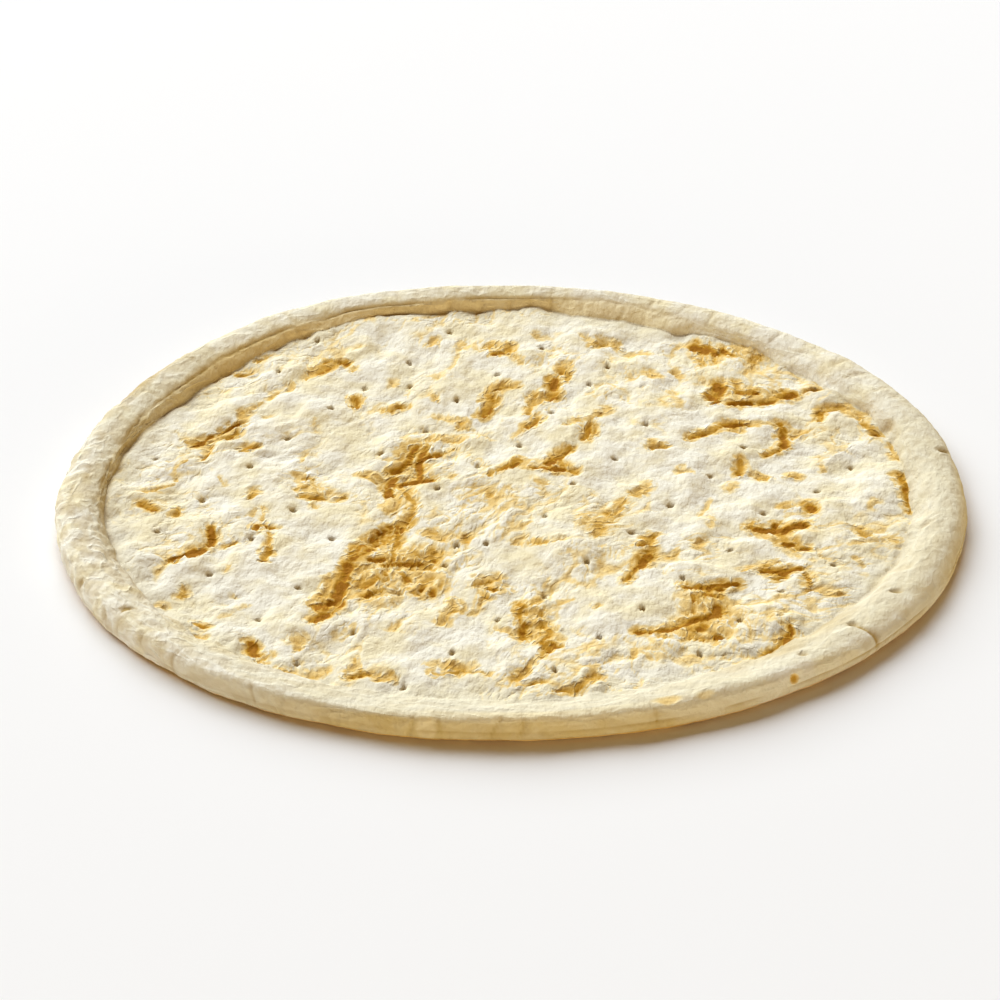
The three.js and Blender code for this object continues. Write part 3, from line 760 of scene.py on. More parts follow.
row_of = np.arange((CELLS_DEEP + 1) * (CELLS_ACROSS + 1)).reshape(CELLS_DEEP + 1, CELLS_ACROSS + 1)
border = np.concatenate([row_of[:-1, -1], row_of[-1, :0:-1], row_of[:0:-1, 0], row_of[0, :-1]])
border_angle = np.unwrap(grid_angle[border])
angle_2d = np.repeat(border_angle[:, None], len(RING_PLACES), axis=1)
near_fold = np.clip(1 - np.abs(RING_PLACES - FOLD_PLACE) / FOLD_REACH, 0, 1)
near_lip = np.clip(1 - np.abs(RING_PLACES - LIP_PLACE) / LIP_REACH, 0, 1)
place_2d = RING_PLACES + near_fold * waves(FOLD_WANDER, angle_2d)
lip_rise = LIP_RISE * facing(LIP_RISE_SIDE, angle_2d) + LIP_RISE_FRONT * facing(PRESSED_SIDE, angle_2d)
place_2d = place_2d - near_lip * lip_rise
drawn_rim = rim_points(border_angle)
rim = np.einsum("atk,akc->atc", spline_weights(place_2d, drawn_rim.shape[1]), drawn_rim)
rim_tangent = np.gradient(rim, axis=1)
rim_outward = np.stack([-rim_tangent[..., 1], rim_tangent[..., 0]], axis=-1)
rim_outward /= np.linalg.norm(rim_outward, axis=-1)[..., None]
print("rim of", rim.shape[0], "by", rim.shape[1], "points")

# %% [markdown]
# Marks on the rim
#
# The rolled dough dried and split as it baked. At the back the upper and the lower band of the fold have
# their own short creases, the front has a few splits down its flat side, and a few pits and tears lie
# between. Noise alone would scatter them anywhere, so the ones that show in the photograph are listed by
# direction, and the creases get a seeded slant and depth. Noise that is drawn out along the rim adds the
# dimples and the dry wrinkles of the rest.

# %% Dimples and wrinkles of the rim
# Each row of noise has its size along and across the rim, its seed and its height.
RIM_DIMPLES = ((55.0, 15.0, 120, 0.8), (30.0, 9.0, 121, 0.8), (14.0, 5.0, 122, 0.5))
WANDER_NOISE = ((7.0, 5.0, 131, 1.0), (3.0, 2.5, 132, 0.5))
WRINKLE_NOISE = ((20.0, 4.5, 141, 1.0), (9.0, 2.8, 142, 0.6))
FINE_NOISE = ((9.0, 3.6, 144, 1.0), (5.0, 2.4, 145, 0.6))
MM_PER_PLACE = 3.4
SMOOTH_BACK = (85, 50)
SMOOTHED_BACK = 0.7


def round_noise(along, across, seed, shift=0.0):
    """Noise with hills about along millimetres apart round the rim and across millimetres over it."""
    where = (np.cos(angle_2d) * OUTER_RADIUS / along, np.sin(angle_2d) * OUTER_RADIUS / along)
    over = place_2d * MM_PER_PLACE / across + shift
    return gradient_noise(np.stack([*where, over], axis=-1).reshape(-1, 3), seed).reshape(angle_2d.shape)


def soft_layers(rows):
    """Sum of the rows' noise times its height."""
    return sum(rise * round_noise(along, across, seed) for along, across, seed, rise in rows)


def sharp_layers(rows, shift=0.0):
    """Sum of the rows' noise without its sign times its height, which leaves sharp valleys."""
    return sum(rise * np.abs(round_noise(along, across, seed, shift)) for along, across, seed, rise in rows)


dimples = soft_layers(RIM_DIMPLES) * (1 - SMOOTHED_BACK * facing(SMOOTH_BACK, angle_2d))
wander = soft_layers(WANDER_NOISE)
wrinkles = sharp_layers(WRINKLE_NOISE, 0.5 * wander)
fine_wrinkles = sharp_layers(FINE_NOISE)
print("dimples from", dimples.min().round(2), "to", dimples.max().round(2), "mm")

# %% Creases across the rim
UPPER_CREASES = (26.7, 32.6, 36.2, 42.5, 48.3, 59.4, 63.9, 67.7, 68.9, 74, 78.9, 83.6, 86, 94.1, 99.2)
UPPER_CREASES += (102.9, 105.7, 112.8, 114.6, 122.1, 128.8, 137.1, 140.6, 152)
LOWER_CREASES = (72.7, 78.9, 83.5, 86.8, 89.4, 93.9, 98.6, 102.1, 106.9, 119.3, 122.6, 125.1, 139, 151, 166)
FRONT_SPLITS = (-101.2, -98, -91.5, -88.5, -72.9, -41, -121, -133, -144)
CREASE_SLANT = 1.2
CREASE_SHIFT = 0.15
crease_draw = np.random.default_rng(7)


def turn_from(degrees):
    """Distance round the rim from a direction, in millimetres."""
    return ((angle_2d - math.radians(degrees) + np.pi) % (2 * np.pi) - np.pi) * OUTER_RADIUS


def creases(angles, middle, reach, least, most, width):
    """Grooves across the rim: Gaussian across each, fading over reach places round its middle."""
    deep = np.zeros_like(angle_2d)
    for at in angles:
        slant, shift = crease_draw.normal(0, CREASE_SLANT), crease_draw.normal(0, CREASE_SHIFT)
        sideways = turn_from(at) - slant * (place_2d - middle) + 1.2 * wander
        fade = ease(1.5 - np.abs(place_2d - middle - shift) / reach)
        deep = np.maximum(deep, crease_draw.uniform(least, most) * np.exp(-((sideways / width) ** 2)) * fade)
    return deep


upper = creases(UPPER_CREASES, middle=3.0, reach=0.9, least=0.3, most=0.8, width=1.2)
lower = creases(LOWER_CREASES, middle=0.9, reach=0.7, least=0.4, most=0.9, width=1.1)
splits = creases(FRONT_SPLITS, middle=5.3, reach=1.2, least=0.7, most=0.9, width=0.8)
grooves = np.maximum.reduce([upper, lower, splits])
print(len(UPPER_CREASES + LOWER_CREASES + FRONT_SPLITS), "creases, up to", grooves.max().round(2), "mm deep")

# %% Pits and tears of the rim
RIM_PITS = (
    # angle, place, half width along, half width across, depth, painted shade in the pit
    (8.2, 4.2, 2.2, 2.0, 1.8, 0.8), (-31.2, 2.6, 1.7, 1.6, 1.8, 0.75), (-41, 2.4, 2.0, 1.5, 1.6, 0.6),
    (-51, 2.6, 2.4, 1.5, 1.5, 0.5), (18, 0.9, 4.0, 2.6, 1.2, 0.4), (24, 3.4, 3.0, 1.6, 0.8, 0.3),
    (-12, 1.6, 3.0, 2.2, 0.8, 0.2), (-24, 1.4, 4.5, 2.6, 0.9, 0.2), (-145, 3.35, 1.6, 2.2, 1.3, 0.95),
    (-147, 5.6, 2.4, 2.2, 0.9, 0.5), (-155, 5.0, 1.4, 2.0, 0.7, 0.4), (-139, 4.6, 1.2, 2.6, 0.8, 0.35),
    (-41.3, 4.4, 0.9, 7.0, 0.8, 0.9), (176, 3.0, 9.0, 0.9, 0.8, 0.35), (184, 3.9, 8.0, 0.8, 0.7, 0.3),
    (166, 3.4, 7.0, 0.8, 0.6, 0.3),
)
RIM_TEARS = (
    (-54.8, 5.2, 2.0, 1.5, 1.0, 0.8), (-70.8, 3.7, 6.0, 2.6, 0.9, 0.3), (-66.5, 4.2, 4.0, 1.6, 0.6, 0.2),
    (-99.6, 5.6, 4.0, 3.4, 0.1, 0.17), (-84, 5.4, 9.0, 0.6, 0.2, 0.12),
)


def spots(rows):
    """Depth and mark of pits with soft edges: both fade with the distance in half widths."""
    depth = np.zeros_like(angle_2d)
    mark = np.zeros_like(angle_2d)
    for at, place, along, across, deep, strength in rows:
        over = (place_2d - place) * MM_PER_PLACE / across
        away = np.hypot(turn_from(at) / along, over) + 0.4 * wander
        depth = np.maximum(depth, deep * ease(1.4 - away))
        mark = np.maximum(mark, strength * ease(1.5 - away))
    return depth, mark


# A pit's mark is painted shade in the pit, and a tear's mark is its toast.
pits, pit_painted_shade = spots(RIM_PITS)
tears, tear_toast = spots(RIM_TEARS)
print(len(RIM_PITS), "pits and", len(RIM_TEARS), "tears, up to", pits.max().round(2), "mm deep")

# %% Relief of the rim
FOLDED_SIDE = (122, 90)
OPEN_FOLD_SIDE = (73, 22)
LIP_SIDE = (-35, 100)
LEFT_SIDE = (190, 75)
FOLD_HALF = 0.2
FOLD_DEPTH = 0.9
LIP_HALF = 0.13
LIP_DEPTH = 0.7
WRINKLE_LEVEL = 0.55
FINE_LEVEL = 0.45

folded_share = ease(2.2 * facing(FOLDED_SIDE, angle_2d)) * ease(0.85 + 1.0 * round_noise(30.0, 30.0, 151))
folded_share *= 1 - 0.65 * facing(OPEN_FOLD_SIDE, angle_2d)
inner_fold = folded_share * np.exp(-(((RING_PLACES - FOLD_PLACE + 0.1 * wander) / FOLD_HALF) ** 2))
lip_share = (0.25 + 0.75 * facing(LIP_SIDE, angle_2d)) * ease(0.8 + round_noise(24.0, 24.0, 152))
lip = lip_share * np.exp(-(((RING_PLACES - LIP_PLACE) / LIP_HALF) ** 2))
left_side = facing(LEFT_SIDE, angle_2d)
# The left is the most wrinkled side.
raised = dimples + (0.3 + 1.0 * left_side) * (wrinkles - WRINKLE_LEVEL)
raised = raised + (0.3 + 0.5 * left_side) * (fine_wrinkles - FINE_LEVEL)
raised -= grooves + pits + tears + FOLD_DEPTH * inner_fold + LIP_DEPTH * lip
# The relief fades out at the foot and on the base, and is lower on the outer wall.
ends = (1 - ease((place_2d - 7.05) / 0.5)) * ease(place_2d / 0.6)
raised *= ends * (1 - 0.35 * ease((place_2d - 4.9) / 0.8))
print("rim relief from", raised.min().round(2), "to", raised.max().round(2), "mm")

# %% Rim joined to the field
FOOT_GROOVES = ((173, 42, 0.9), (145, 60, 0.2), (85, 70, 0.4), (-22, 50, 0.5), (30, 45, 0.3))
GROOVE_WIDTH = 1.6


def foot_groove(angle):
    """Depth of the crevice where the rim meets the field: deepest at the left, none at the front."""
    return sum(depth * facing((degrees, reach), angle) for degrees, reach, depth in FOOT_GROOVES)


foot_away = np.hypot(field_x, field_y) - foot_radius
near_foot = np.exp(-((foot_away / GROOVE_WIDTH) ** 2)) * foot_groove(grid_angle)
field_z = field_z - near_foot
rim = rim + raised[..., None] * rim_outward
foot_gap = field_z[border] - rim[:, 0, 1]
rim[..., 1] += foot_gap[:, None] * (1 - ease(place_2d))
rim[..., 1] = np.clip(rim[..., 1], 0, None)
print("foot of the rim from", field_z[border].min().round(2), "to", field_z[border].max().round(2), "mm")

# %% [markdown]
# One closed mesh
#
# The bread is solid, so its skin has to close all round. Two meshes could be joined and their doubles merged,
# but here the grid, the rings and a flat base share their border points from the start. The faces are lists
# of point numbers worked out from the grid's own numbering, and all of them point outwards.

# %% Points and faces
BASE_SHARES = (0.75, 0.5, 0.25)
ring_x = (rim[:, 1:, 0] * np.cos(border_angle)[:, None]).T
ring_y = (rim[:, 1:, 0] * np.sin(border_angle)[:, None]).T
ring_z = rim[:, 1:, 1].T
base_x = np.stack([share * ring_x[-1] for share in BASE_SHARES])
base_y = np.stack([share * ring_y[-1] for share in BASE_SHARES])
points = np.concatenate(
    [
        np.stack([field_x, field_y, field_z], axis=1),
        np.stack([ring_x.ravel(), ring_y.ravel(), ring_z.ravel()], axis=1),
        np.stack([base_x.ravel(), base_y.ravel(), np.zeros(base_x.size)], axis=1),
        np.zeros((1, 3)),
    ]
)
ring_count = ring_x.shape[0] + len(BASE_SHARES)
ring_numbers = len(field_x) + np.arange(ring_count * len(border)).reshape(-1, len(border))
all_rings = np.concatenate([border[None, :], ring_numbers])
inner, outer = all_rings[:-1], all_rings[1:]
ring_faces = np.stack([inner, outer, np.roll(outer, -1, axis=1), np.roll(inner, -1, axis=1)], axis=-1)
grid_faces = np.stack([row_of[:-1, :-1], row_of[:-1, 1:], row_of[1:, 1:], row_of[1:, :-1]], axis=-1)
last = all_rings[-1]
fan_faces = np.stack([last, np.full_like(last, len(points) - 1), np.roll(last, -1)], axis=-1)
faces = grid_faces.reshape(-1, 4).tolist() + ring_faces.reshape(-1, 4).tolist() + fan_faces.tolist()
triangles = sum(len(face) - 2 for face in faces)
print("crust mesh:", len(points), "points,", triangles, "triangles")

# %% The crust's mesh
crust_mesh = bpy.data.meshes.new("crust_bread")
crust_mesh.from_pydata(((points + circle_middle) * MM).tolist(), [], faces)
crust_mesh.shade_smooth()
crust = bpy.data.objects.new("crust_bread", crust_mesh)
bpy.context.scene.collection.objects.link(crust)
print("crust of", len(crust_mesh.polygons), "faces")

# %% [markdown]
# Where the colours go
#
# The material has to know what lies where: how toasted the dough is, how bare of flour, how shaded in a fold
# or a hole, how wrinkled, and whether it is the underside. The shade is painted shade, and some of the toast
# in the folds of the field and some of the bareness on the rim's shaded walls is painted shade too. Each is
# one number at every point of the mesh. On the field they come from the strokes. On the rim they come from
# the place over the rim and from the side of the crust, because the photograph shows a white left, a tan
# front and a yellow back. Two more attributes give every point a place along the grain and round the rim, for
# the fine wrinkles of the material.

# %% Bands of the rim
BACK_SIDE = (110, 85)
INNER_WALL_SIDE = (125, 110)
OUTER_WALL_SIDE = (-95, 62)


def beyond(place, over):
    """0 up to a place over the rim, easing to 1 a little further on."""
    return ease((place_2d - place) / over)


def on_sides(rows):
    """Sum of rows (degrees, reach, amount, band): the amount on that side of the crust, times the band."""
    return sum(amount * facing((degrees, reach), angle_2d) * band for degrees, reach, amount, band in rows)


inner_wall = (1 - beyond(1.0, 2.8)) * ease(1.6 * facing(INNER_WALL_SIDE, angle_2d))
outer_wall = beyond(4.3, 1.1) * (0.1 + 0.9 * facing(OUTER_WALL_SIDE, angle_2d))
inner_slope = 1 - beyond(1.6, 1.4)
front_band = beyond(2.8, 0.6) * (1 - beyond(4.8, 0.6))
below_lip = ease((RING_PLACES - LIP_PLACE) / 0.25) * lip_share
under = beyond(6.65, 0.45)
patchy = ease(0.6 + 1.2 * round_noise(16.0, 12.0, 153))
wall_shares = [(wall > 0.5).mean().round(2) for wall in (inner_wall, outer_wall)]
print("inner and outer wall take up", *wall_shares, "of the rim")

# %% Toast, flour and shade of the rim
rim_tint = tear_toast + 0.08 * inner_wall
rim_tint += on_sides(
    [
        (*BACK_SIDE, 0.15, inner_slope),
        (68, 30, 0.03, inner_slope),
        (136, 26, 0.08, inner_slope),
        (-15, 40, 0.14, beyond(3.6, 0.8)),
        (-50, 30, 0.13, 1 - beyond(0.8, 1.6)),
        (-88, 38, 0.17, front_band),
    ]
)
rim_bare_and_shade = 0.38 + 0.6 * outer_wall + 0.3 * below_lip
rim_bare_and_shade += on_sides(
    [
        (*BACK_SIDE, -0.2, 1.0),
        # The left inner wall and the right outer flank face away from the lamp: their tan is partly bare
        # dough and partly painted shade.
        (*LEFT_SIDE, 0.4, inner_wall),
        (*LEFT_SIDE, -0.36, 1 - inner_wall),
        (-5, 60, 0.42, beyond(3.6, 1.8)),
        (50, 50, -0.36, 1 - beyond(3.4, 1.4)),
        (156, 28, 0.2, 1.0),
        (-22, 36, 0.12, beyond(2.2, 0.8)),
        (-42, 42, -0.4, beyond(3.2, 1.2)),
        (-145, 45, -0.4, beyond(3.2, 1.2)),
    ]
)
rim_bare_and_shade = np.clip(rim_bare_and_shade + 0.12 * round_noise(20.0, 10.0, 146), 0, 1)
rim_shade = 0.4 * upper + 0.3 * lower + 0.45 * splits + 0.6 * inner_fold + 0.7 * lip + pit_painted_shade
rim_shade += 0.6 * foot_groove(angle_2d) * (1 - beyond(0, 0.7))
rim_shade += on_sides(
    [
        (*LEFT_SIDE, 0.2, 1 - beyond(0.8, 1.8)),
        (150, 11, 0.45, beyond(3.4, 0.8)),
        (75, 45, 0.5, patchy * (1 - beyond(0, 0.7))),
        (-48, 26, 0.3, patchy * (1 - beyond(1.2, 1.0))),
        (136, 20, 0.16, inner_slope),
    ]
)
rim_wrinkled = 0.27 + 0.2 * outer_wall + on_sides([(*LEFT_SIDE, 0.45, 1.0), (*BACK_SIDE, 0.05, 1.0)])
rim_means = [values.mean().round(3) for values in (rim_tint, rim_bare_and_shade, rim_shade)]
print("toast, bareness and shade of the rim on average:", *rim_means)

# %% Colour attributes
NEAR_FOOT_SHADE = 0.5
count_under = len(BASE_SHARES) * len(border) + 1


def all_points(on_field, on_rings, on_base):
    """One value for each point, in the order of the mesh: field, rings of the rim, base."""
    on_field = np.broadcast_to(on_field, field_x.shape)
    on_rings = np.broadcast_to(on_rings, angle_2d.shape)[:, 1:].T.ravel()
    return np.concatenate([on_field, on_rings, np.full(count_under, on_base)])


# Besides toast, tint holds painted shade in the folds and halos of the field, bare holds painted shade on the
# left inner wall and the right outer flank, and shade is painted shade in holes, folds, creases, pits and at
# the foot.
attributes = {
    "tint": all_points(field_marks["tint"], rim_tint, 0.0),
    "stroke": all_points(field_marks["stroke"], 0.0, 0.0),
    "stroke_depth": all_points(field_marks["stroke_depth"], FAR_OUTSIDE, FAR_OUTSIDE),
    "ground": all_points(field_marks["ground"], 0.0, 0.0),
    "ground_depth": all_points(field_marks["ground_depth"], FAR_OUTSIDE, FAR_OUTSIDE),
    "shade": all_points(np.maximum(NEAR_FOOT_SHADE * near_foot, hole_shade), rim_shade, 0.0),
    "crumpled": all_points(field_marks["crumpled"], 0.0, 0.1),
    "wrinkled": all_points(0.0, rim_wrinkled, 0.0),
    "bare": all_points(0.3 * ease((grid_share - 0.9) / 0.1), rim_bare_and_shade, 1.0),
    "under": all_points(0.0, under, 1.0),
}
for name, values in attributes.items():
    layer = crust_mesh.attributes.new(name, "FLOAT", "POINT")
    layer.data.foreach_set("value", values.astype(np.float32))
    print(name, "from", values.min().round(2), "to", values.max().round(2))

# %% Places for the fine wrinkles
ROUND_SHARE = 0.28
GRAIN_SHARE = 0.85
BASE_PLACE = 30.0


def round_place(angle, across):
    """Place round the rim, drawn together so that wrinkles come out long that way, and place across it."""
    along = ROUND_SHARE * OUTER_RADIUS
    return np.stack([along * np.cos(angle), along * np.sin(angle), across], axis=-1).reshape(-1, 3)


along, across = grain_place(points[:, 0], points[:, 1])
base_angle = np.append(np.tile(border_angle, len(BASE_SHARES)), 0.0)
rounds = [
    round_place(grid_angle, foot_away),
    round_place(angle_2d[:, 1:].T, MM_PER_PLACE * place_2d[:, 1:].T),
    round_place(base_angle, np.full(count_under, BASE_PLACE)),
]
vectors = {
    "grain": np.stack([GRAIN_SHARE * along, across, points[:, 2]], axis=1),
    "round": np.concatenate(rounds),
}
for name, values in vectors.items():
    layer = crust_mesh.attributes.new(name, "FLOAT_VECTOR", "POINT")
    layer.data.foreach_set("vector", (values * MM).astype(np.float32).ravel())
    print(name, "spans", np.ptp(values, axis=0).round(0), "mm")

# %% [markdown]
# Baked dough
#
# The finish is dry and matte. Flour makes it white, a fold shows the cream dough below with painted shade in
# it, and toast runs from gold to brown. One colour ramp read by the toast gives the bread's own order of
# colours. The brown mixed in by the shade attribute and in the valleys of the rim's wrinkles is painted
# shade.
# The mesh is too coarse for torn edges and hair-thin creases, so finer noise in the material adds them: it
# breaks the edge of every stroke, and it lifts thin crests along the grain, or presses them in where the
# attribute is below 0.

# %% Attributes in the material
def fill(tree, socket, value):
    """Links another node's output to the socket, or sets the socket to a value."""
    if isinstance(value, bpy.types.NodeSocket):
        tree.links.new(value, socket)
    else:
        socket.default_value = value


def link_node(tree, kind, inputs=None, **settings):
    """Adds a node, sets its own settings, and fills each input that is named."""
    node = tree.nodes.new(kind)
    for name, value in settings.items():
        setattr(node, name, value)
    for name, value in (inputs or {}).items():
        fill(tree, node.inputs[name], value)
    return node


def read_attribute(tree, name):
    """The value of a mesh attribute."""
    return link_node(tree, "ShaderNodeAttribute", attribute_name=name).outputs["Fac"]


dough = bpy.data.materials.new("baked_dough")
dough.use_nodes = True
tree = dough.node_tree
shader = tree.nodes["Principled BSDF"]
where = link_node(tree, "ShaderNodeTexCoord").outputs["Object"]
value_of = {name: read_attribute(tree, name) for name in attributes}
print("the dough reads", len(value_of), "values of the mesh")

# %% Noise and crests
SPECKLE_SCALE = 300.0
PATCH_SCALE = 60.0
GRAIN_CREST_SCALE = 170.0
ROUND_CREST_SCALE = 230.0


def noise(tree, where, scale, detail=3.0, roughness=0.55):
    """Blender's noise in Object coordinates, from 0 to 1, scale in patterns for each metre."""
    values = {"Vector": where, "Scale": scale, "Detail": detail, "Roughness": roughness}
    return link_node(tree, "ShaderNodeTexNoise", values).outputs["Fac"]


def rescale(tree, value, low, high, to_low, to_high):
    """Smoothly maps low..high to to_low..to_high and holds the ends."""
    values = {"Value": value, "From Min": low, "From Max": high, "To Min": to_low, "To Max": to_high}
    return link_node(tree, "ShaderNodeMapRange", values, interpolation_type="SMOOTHSTEP").outputs["Result"]


def ridges(tree, name, scale):
    """Sharp crests, from 0 in the valleys to 1, in the coordinates of a vector attribute of the mesh."""
    vector = link_node(tree, "ShaderNodeAttribute", attribute_name=name).outputs["Vector"]
    values = {"Vector": vector, "Scale": scale, "Detail": 1.6, "Roughness": 0.55}
    values |= {"Offset": 0.9, "Gain": 1.5, "Distortion": 0.6}
    node = link_node(tree, "ShaderNodeTexNoise", values, noise_type="RIDGED_MULTIFRACTAL")
    return rescale(tree, node.outputs["Fac"], 0.3, 1.6, 0.0, 1.0)


speckle = noise(tree, where, SPECKLE_SCALE)
patches = noise(tree, where, PATCH_SCALE)
crest = ridges(tree, "grain", GRAIN_CREST_SCALE)
rim_crest = ridges(tree, "round", ROUND_CREST_SCALE)
print("crests about", round(1000 / GRAIN_CREST_SCALE, 1), "mm apart on the field")

# %% Toast with torn edges
RAGGED_SHARE = 0.5
STROKE_STREAK, STROKE_FULL = 0.12, 0.8
GROUND_STREAK, GROUND_FULL = 0.42, 0.55
EDGE_START = -0.9
FAINT_STREAK = 0.34


def combine(tree, operation, *values):
    """A Math node on two or three values."""
    node = link_node(tree, "ShaderNodeMath", operation=operation)
    for socket, value in zip(node.inputs, values):
        fill(tree, socket, value)
    return node.outputs[0]


dip = combine(tree, "SUBTRACT", 0.4, crest)
rough_edge = combine(tree, "ADD", dip, combine(tree, "SUBTRACT", speckle, 0.5))
ragged = combine(tree, "MULTIPLY", rough_edge, RAGGED_SHARE)


def torn_level(tree, depth, toast, streak, full):
    """Toast of a stroke: none outside its ragged edge, and inside its own, darker in the dips of the skin."""
    inside = rescale(tree, combine(tree, "ADD", depth, ragged), EDGE_START, full, 0.0, 1.0)
    return combine(tree, "MULTIPLY", inside, combine(tree, "MULTIPLY_ADD", dip, streak, toast))


stroke_level = torn_level(tree, value_of["stroke_depth"], value_of["stroke"], STROKE_STREAK, STROKE_FULL)
ground_level = torn_level(tree, value_of["ground_depth"], value_of["ground"], GROUND_STREAK, GROUND_FULL)
lively = value_of["crumpled"]
faint_dip = combine(tree, "MULTIPLY", dip, lively)
faint = combine(tree, "MULTIPLY_ADD", faint_dip, FAINT_STREAK, value_of["tint"])
toasted = combine(tree, "MAXIMUM", faint, combine(tree, "MAXIMUM", stroke_level, ground_level))
print("toast by", len(tree.nodes), "nodes")

# %% Flour, bare dough and toast
FLOUR_WHITE = (0.875, 0.835, 0.705)
FLOUR_CREAM = (0.86, 0.77, 0.52)
RIM_CREAM = (0.735, 0.67, 0.485)
SIDE_TAN = (0.69, 0.54, 0.245)
DOUGH_CREAM = (0.88, 0.755, 0.46)
TOAST_PALE = (0.83, 0.60, 0.24)
TOAST_GOLD = (0.66, 0.39, 0.075)
TOAST_BROWN = (0.49, 0.235, 0.01)
TOAST_DARK = (0.37, 0.15, 0.004)
TOAST_STOPS = (
    (0.14, DOUGH_CREAM), (0.4, TOAST_PALE), (0.68, TOAST_GOLD), (0.9, TOAST_BROWN), (1.0, TOAST_DARK),
)


def mix_colour(tree, share, first, second):
    """A colour mixed from two by a share from 0 to 1."""
    node = link_node(tree, "ShaderNodeMix", data_type="RGBA")
    for socket, value in zip((node.inputs[0], node.inputs[6], node.inputs[7]), (share, first, second)):
        fill(tree, socket, (*value, 1.0) if isinstance(value, tuple) else value)
    return node.outputs[2]


def ramp(tree, value, stops):
    """A colour ramp with stops (place, colour)."""
    node = link_node(tree, "ShaderNodeValToRGB", {"Fac": value})
    elements = node.color_ramp.elements
    while len(elements) < len(stops):
        elements.new(0.5)
    for element, (place, colour) in zip(elements, stops):
        element.position = place
        element.color = (*colour, 1.0)
    return node.outputs["Color"]


flour = mix_colour(tree, rescale(tree, patches, 0.35, 0.7, 0.0, 1.0), FLOUR_WHITE, FLOUR_CREAM)
skin_colour = mix_colour(tree, rescale(tree, value_of["bare"], 0.0, 0.45, 0.0, 0.85), flour, RIM_CREAM)
bare_side = rescale(tree, value_of["bare"], 0.4, 1.0, 0.0, 1.0)
patchy_side = combine(tree, "MULTIPLY", bare_side, combine(tree, "ADD", patches, 0.45))
skin_colour = mix_colour(tree, combine(tree, "MINIMUM", patchy_side, 1.0), skin_colour, SIDE_TAN)
toast_share = rescale(tree, toasted, 0.04, 0.26, 0.0, 1.0)
crust_colour = mix_colour(tree, toast_share, skin_colour, ramp(tree, toasted, TOAST_STOPS))
print("toast in", len(TOAST_STOPS), "steps of colour")

# %% Shade, underside and fine bumps
SHADE_BROWN = (0.42, 0.26, 0.045)
UNDER_TAN = (0.80, 0.49, 0.13)
UNDER_BROWN = (0.58, 0.30, 0.06)
UNDER_SCALE = 16.0
CRACK_SHADE = 0.36
MOST_SHADE = 0.85
CRINKLE_SCALE = 260.0
CRINKLE_STRETCH = (1.0, 0.6, 1.0)
CRINKLE_SHARE = 1.6
BUMP_HEIGHT = 0.0009
SHEEN = 0.03

# The brown mixed into the valleys between the rim's wrinkle crests is painted shade, and so is the brown of
# the shade attribute.
painted_crack_shade = combine(tree, "MULTIPLY", rescale(tree, rim_crest, 0.0, 0.4, CRACK_SHADE, 0.0), value_of["wrinkled"])
shaded = combine(tree, "MINIMUM", combine(tree, "ADD", value_of["shade"], painted_crack_shade), MOST_SHADE)
crust_colour = mix_colour(tree, shaded, crust_colour, SHADE_BROWN)
under_level = combine(tree, "MULTIPLY_ADD", noise(tree, where, UNDER_SCALE, 2.0), 1.2, patches)
under_colour = mix_colour(tree, rescale(tree, under_level, 0.9, 1.45, 0.0, 1.0), UNDER_TAN, UNDER_BROWN)
tree.links.new(mix_colour(tree, value_of["under"], crust_colour, under_colour), shader.inputs["Base Color"])
tree.links.new(rescale(tree, toasted, 0.2, 0.8, 0.9, 0.7), shader.inputs["Roughness"])
drawn_out = link_node(tree, "ShaderNodeMapping", {"Vector": where, "Scale": CRINKLE_STRETCH})
crinkle = noise(tree, drawn_out.outputs["Vector"], CRINKLE_SCALE)
rim_crests = combine(tree, "MULTIPLY", rim_crest, value_of["wrinkled"])
crests = combine(tree, "MULTIPLY_ADD", crest, lively, rim_crests)
fine_height = combine(tree, "MULTIPLY_ADD", crinkle, CRINKLE_SHARE, crests)
bump = link_node(tree, "ShaderNodeBump", {"Strength": 1.0, "Distance": BUMP_HEIGHT, "Height": fine_height})
tree.links.new(bump.outputs["Normal"], shader.inputs["Normal"])
shader.inputs["Specular IOR Level"].default_value = SHEEN
crust_mesh.materials.append(dough)
print("dough material with", len(tree.nodes), "nodes")

# %% [markdown]
# Floor and light
#
# The crust lies on a plain white surface that runs on past the picture. The photograph's light is one broad
# soft source behind the crust and a little to the left, and the fill is weak and warm: the shadow in front of
# the rim is dark and brown at the edge and gone after two or three centimetres. A very large lamp far away
# gives an evenly lit floor. A warm sky fills the shadows, a lamp of slightly cooler white keeps the floor
# white, and a low card in front of the crust lights the upright side.

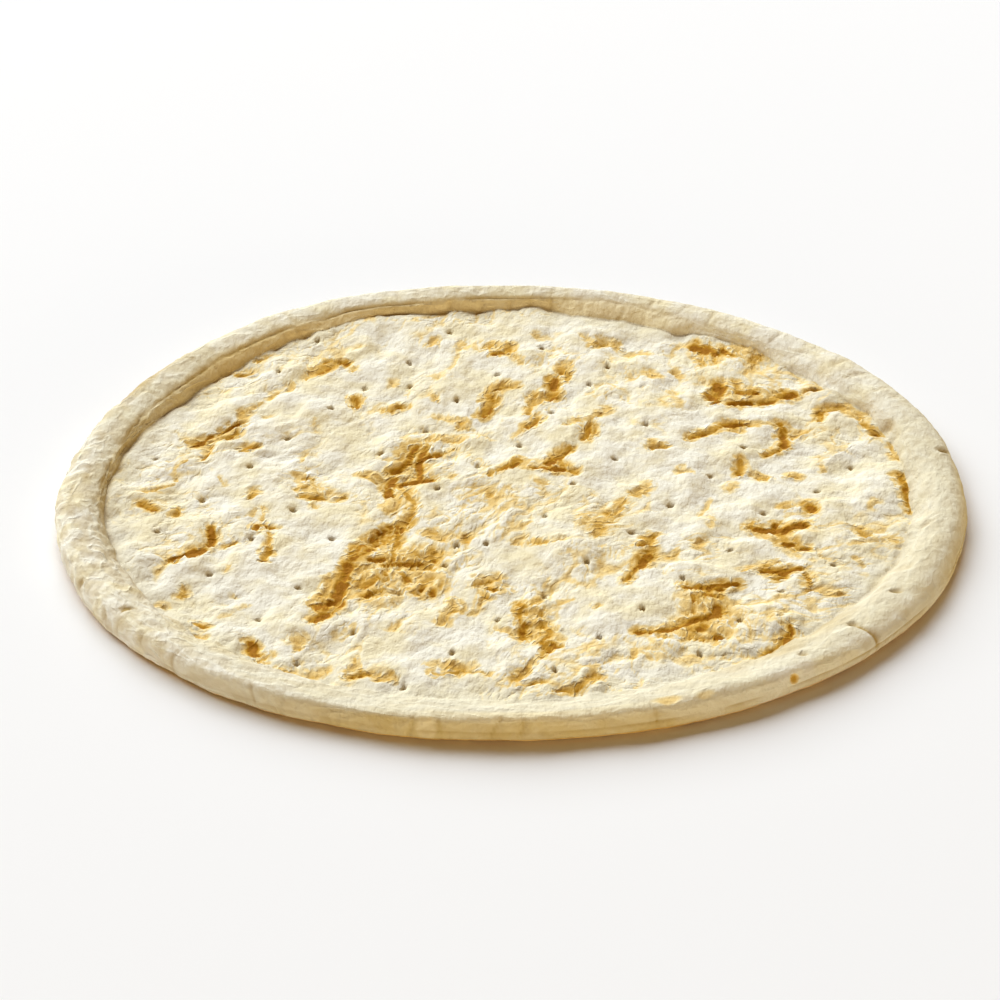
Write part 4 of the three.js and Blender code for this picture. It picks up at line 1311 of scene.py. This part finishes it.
# %% Floor
FLOOR_HALF = 6.0
FLOOR_DROP = 0.0002
FLOOR_WHITE = (0.9, 0.9, 0.9, 1)
FLOOR_ROUGHNESS = 0.9
floor_signs = np.array([(-1, -1), (1, -1), (1, 1), (-1, 1)])
floor_corners = np.column_stack([FLOOR_HALF * floor_signs, np.full(4, -FLOOR_DROP)])
floor_mesh = bpy.data.meshes.new("floor")
floor_mesh.from_pydata(floor_corners.tolist(), [], [(0, 1, 2, 3)])
floor = bpy.data.objects.new("floor", floor_mesh)
bpy.context.scene.collection.objects.link(floor)
paper = bpy.data.materials.new("white_floor")
paper.use_nodes = True
paper_shader = paper.node_tree.nodes["Principled BSDF"]
paper_shader.inputs["Base Color"].default_value = FLOOR_WHITE
paper_shader.inputs["Roughness"].default_value = FLOOR_ROUGHNESS
floor_mesh.materials.append(paper)
print("floor", 2 * FLOOR_HALF, "m wide")

# %% Lamp and sky
LAMP_PLACE = Vector((-5.8, 12.4, 9.9))
LAMP_SIZE = (22.0, 15.0)
LAMP_POWER = 6500.0
LAMP_COLOUR = (0.875, 0.945, 1.0)
CARD_PLACE = Vector((1.6, -5.0, 0.45))
CARD_SIZE = (16.0, 0.8)
CARD_POWER = 235.0
CARD_COLOUR = (1.0, 0.88, 0.63)
SKY_COLOUR = (1.0, 0.53, 0.15)
SKY_STRENGTH = 0.16


def add_lamp(name, place, size, power, colour):
    """A soft rectangle at the place that faces the crust."""
    data = bpy.data.lights.new(name, "AREA")
    data.shape = "RECTANGLE"
    data.size, data.size_y = size
    data.energy = power
    data.color = colour
    lamp = bpy.data.objects.new(name, data)
    lamp.location = place
    lamp.rotation_euler = (-place).to_track_quat("-Z", "Y").to_euler()
    bpy.context.scene.collection.objects.link(lamp)


add_lamp("window_lamp", LAMP_PLACE, LAMP_SIZE, LAMP_POWER, LAMP_COLOUR)
add_lamp("front_card", CARD_PLACE, CARD_SIZE, CARD_POWER, CARD_COLOUR)
sky = bpy.data.worlds.new("warm_sky")
sky.use_nodes = True
background = sky.node_tree.nodes["Background"]
background.inputs["Color"].default_value = (*SKY_COLOUR, 1)
background.inputs["Strength"].default_value = SKY_STRENGTH
bpy.context.scene.world = sky
bpy.context.scene.view_settings.view_transform = "Standard"
print("lamp", LAMP_POWER, "W, card", CARD_POWER, "W and sky", SKY_STRENGTH)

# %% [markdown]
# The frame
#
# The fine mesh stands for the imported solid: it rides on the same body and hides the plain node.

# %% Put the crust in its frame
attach(crust, "root")
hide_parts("crust")
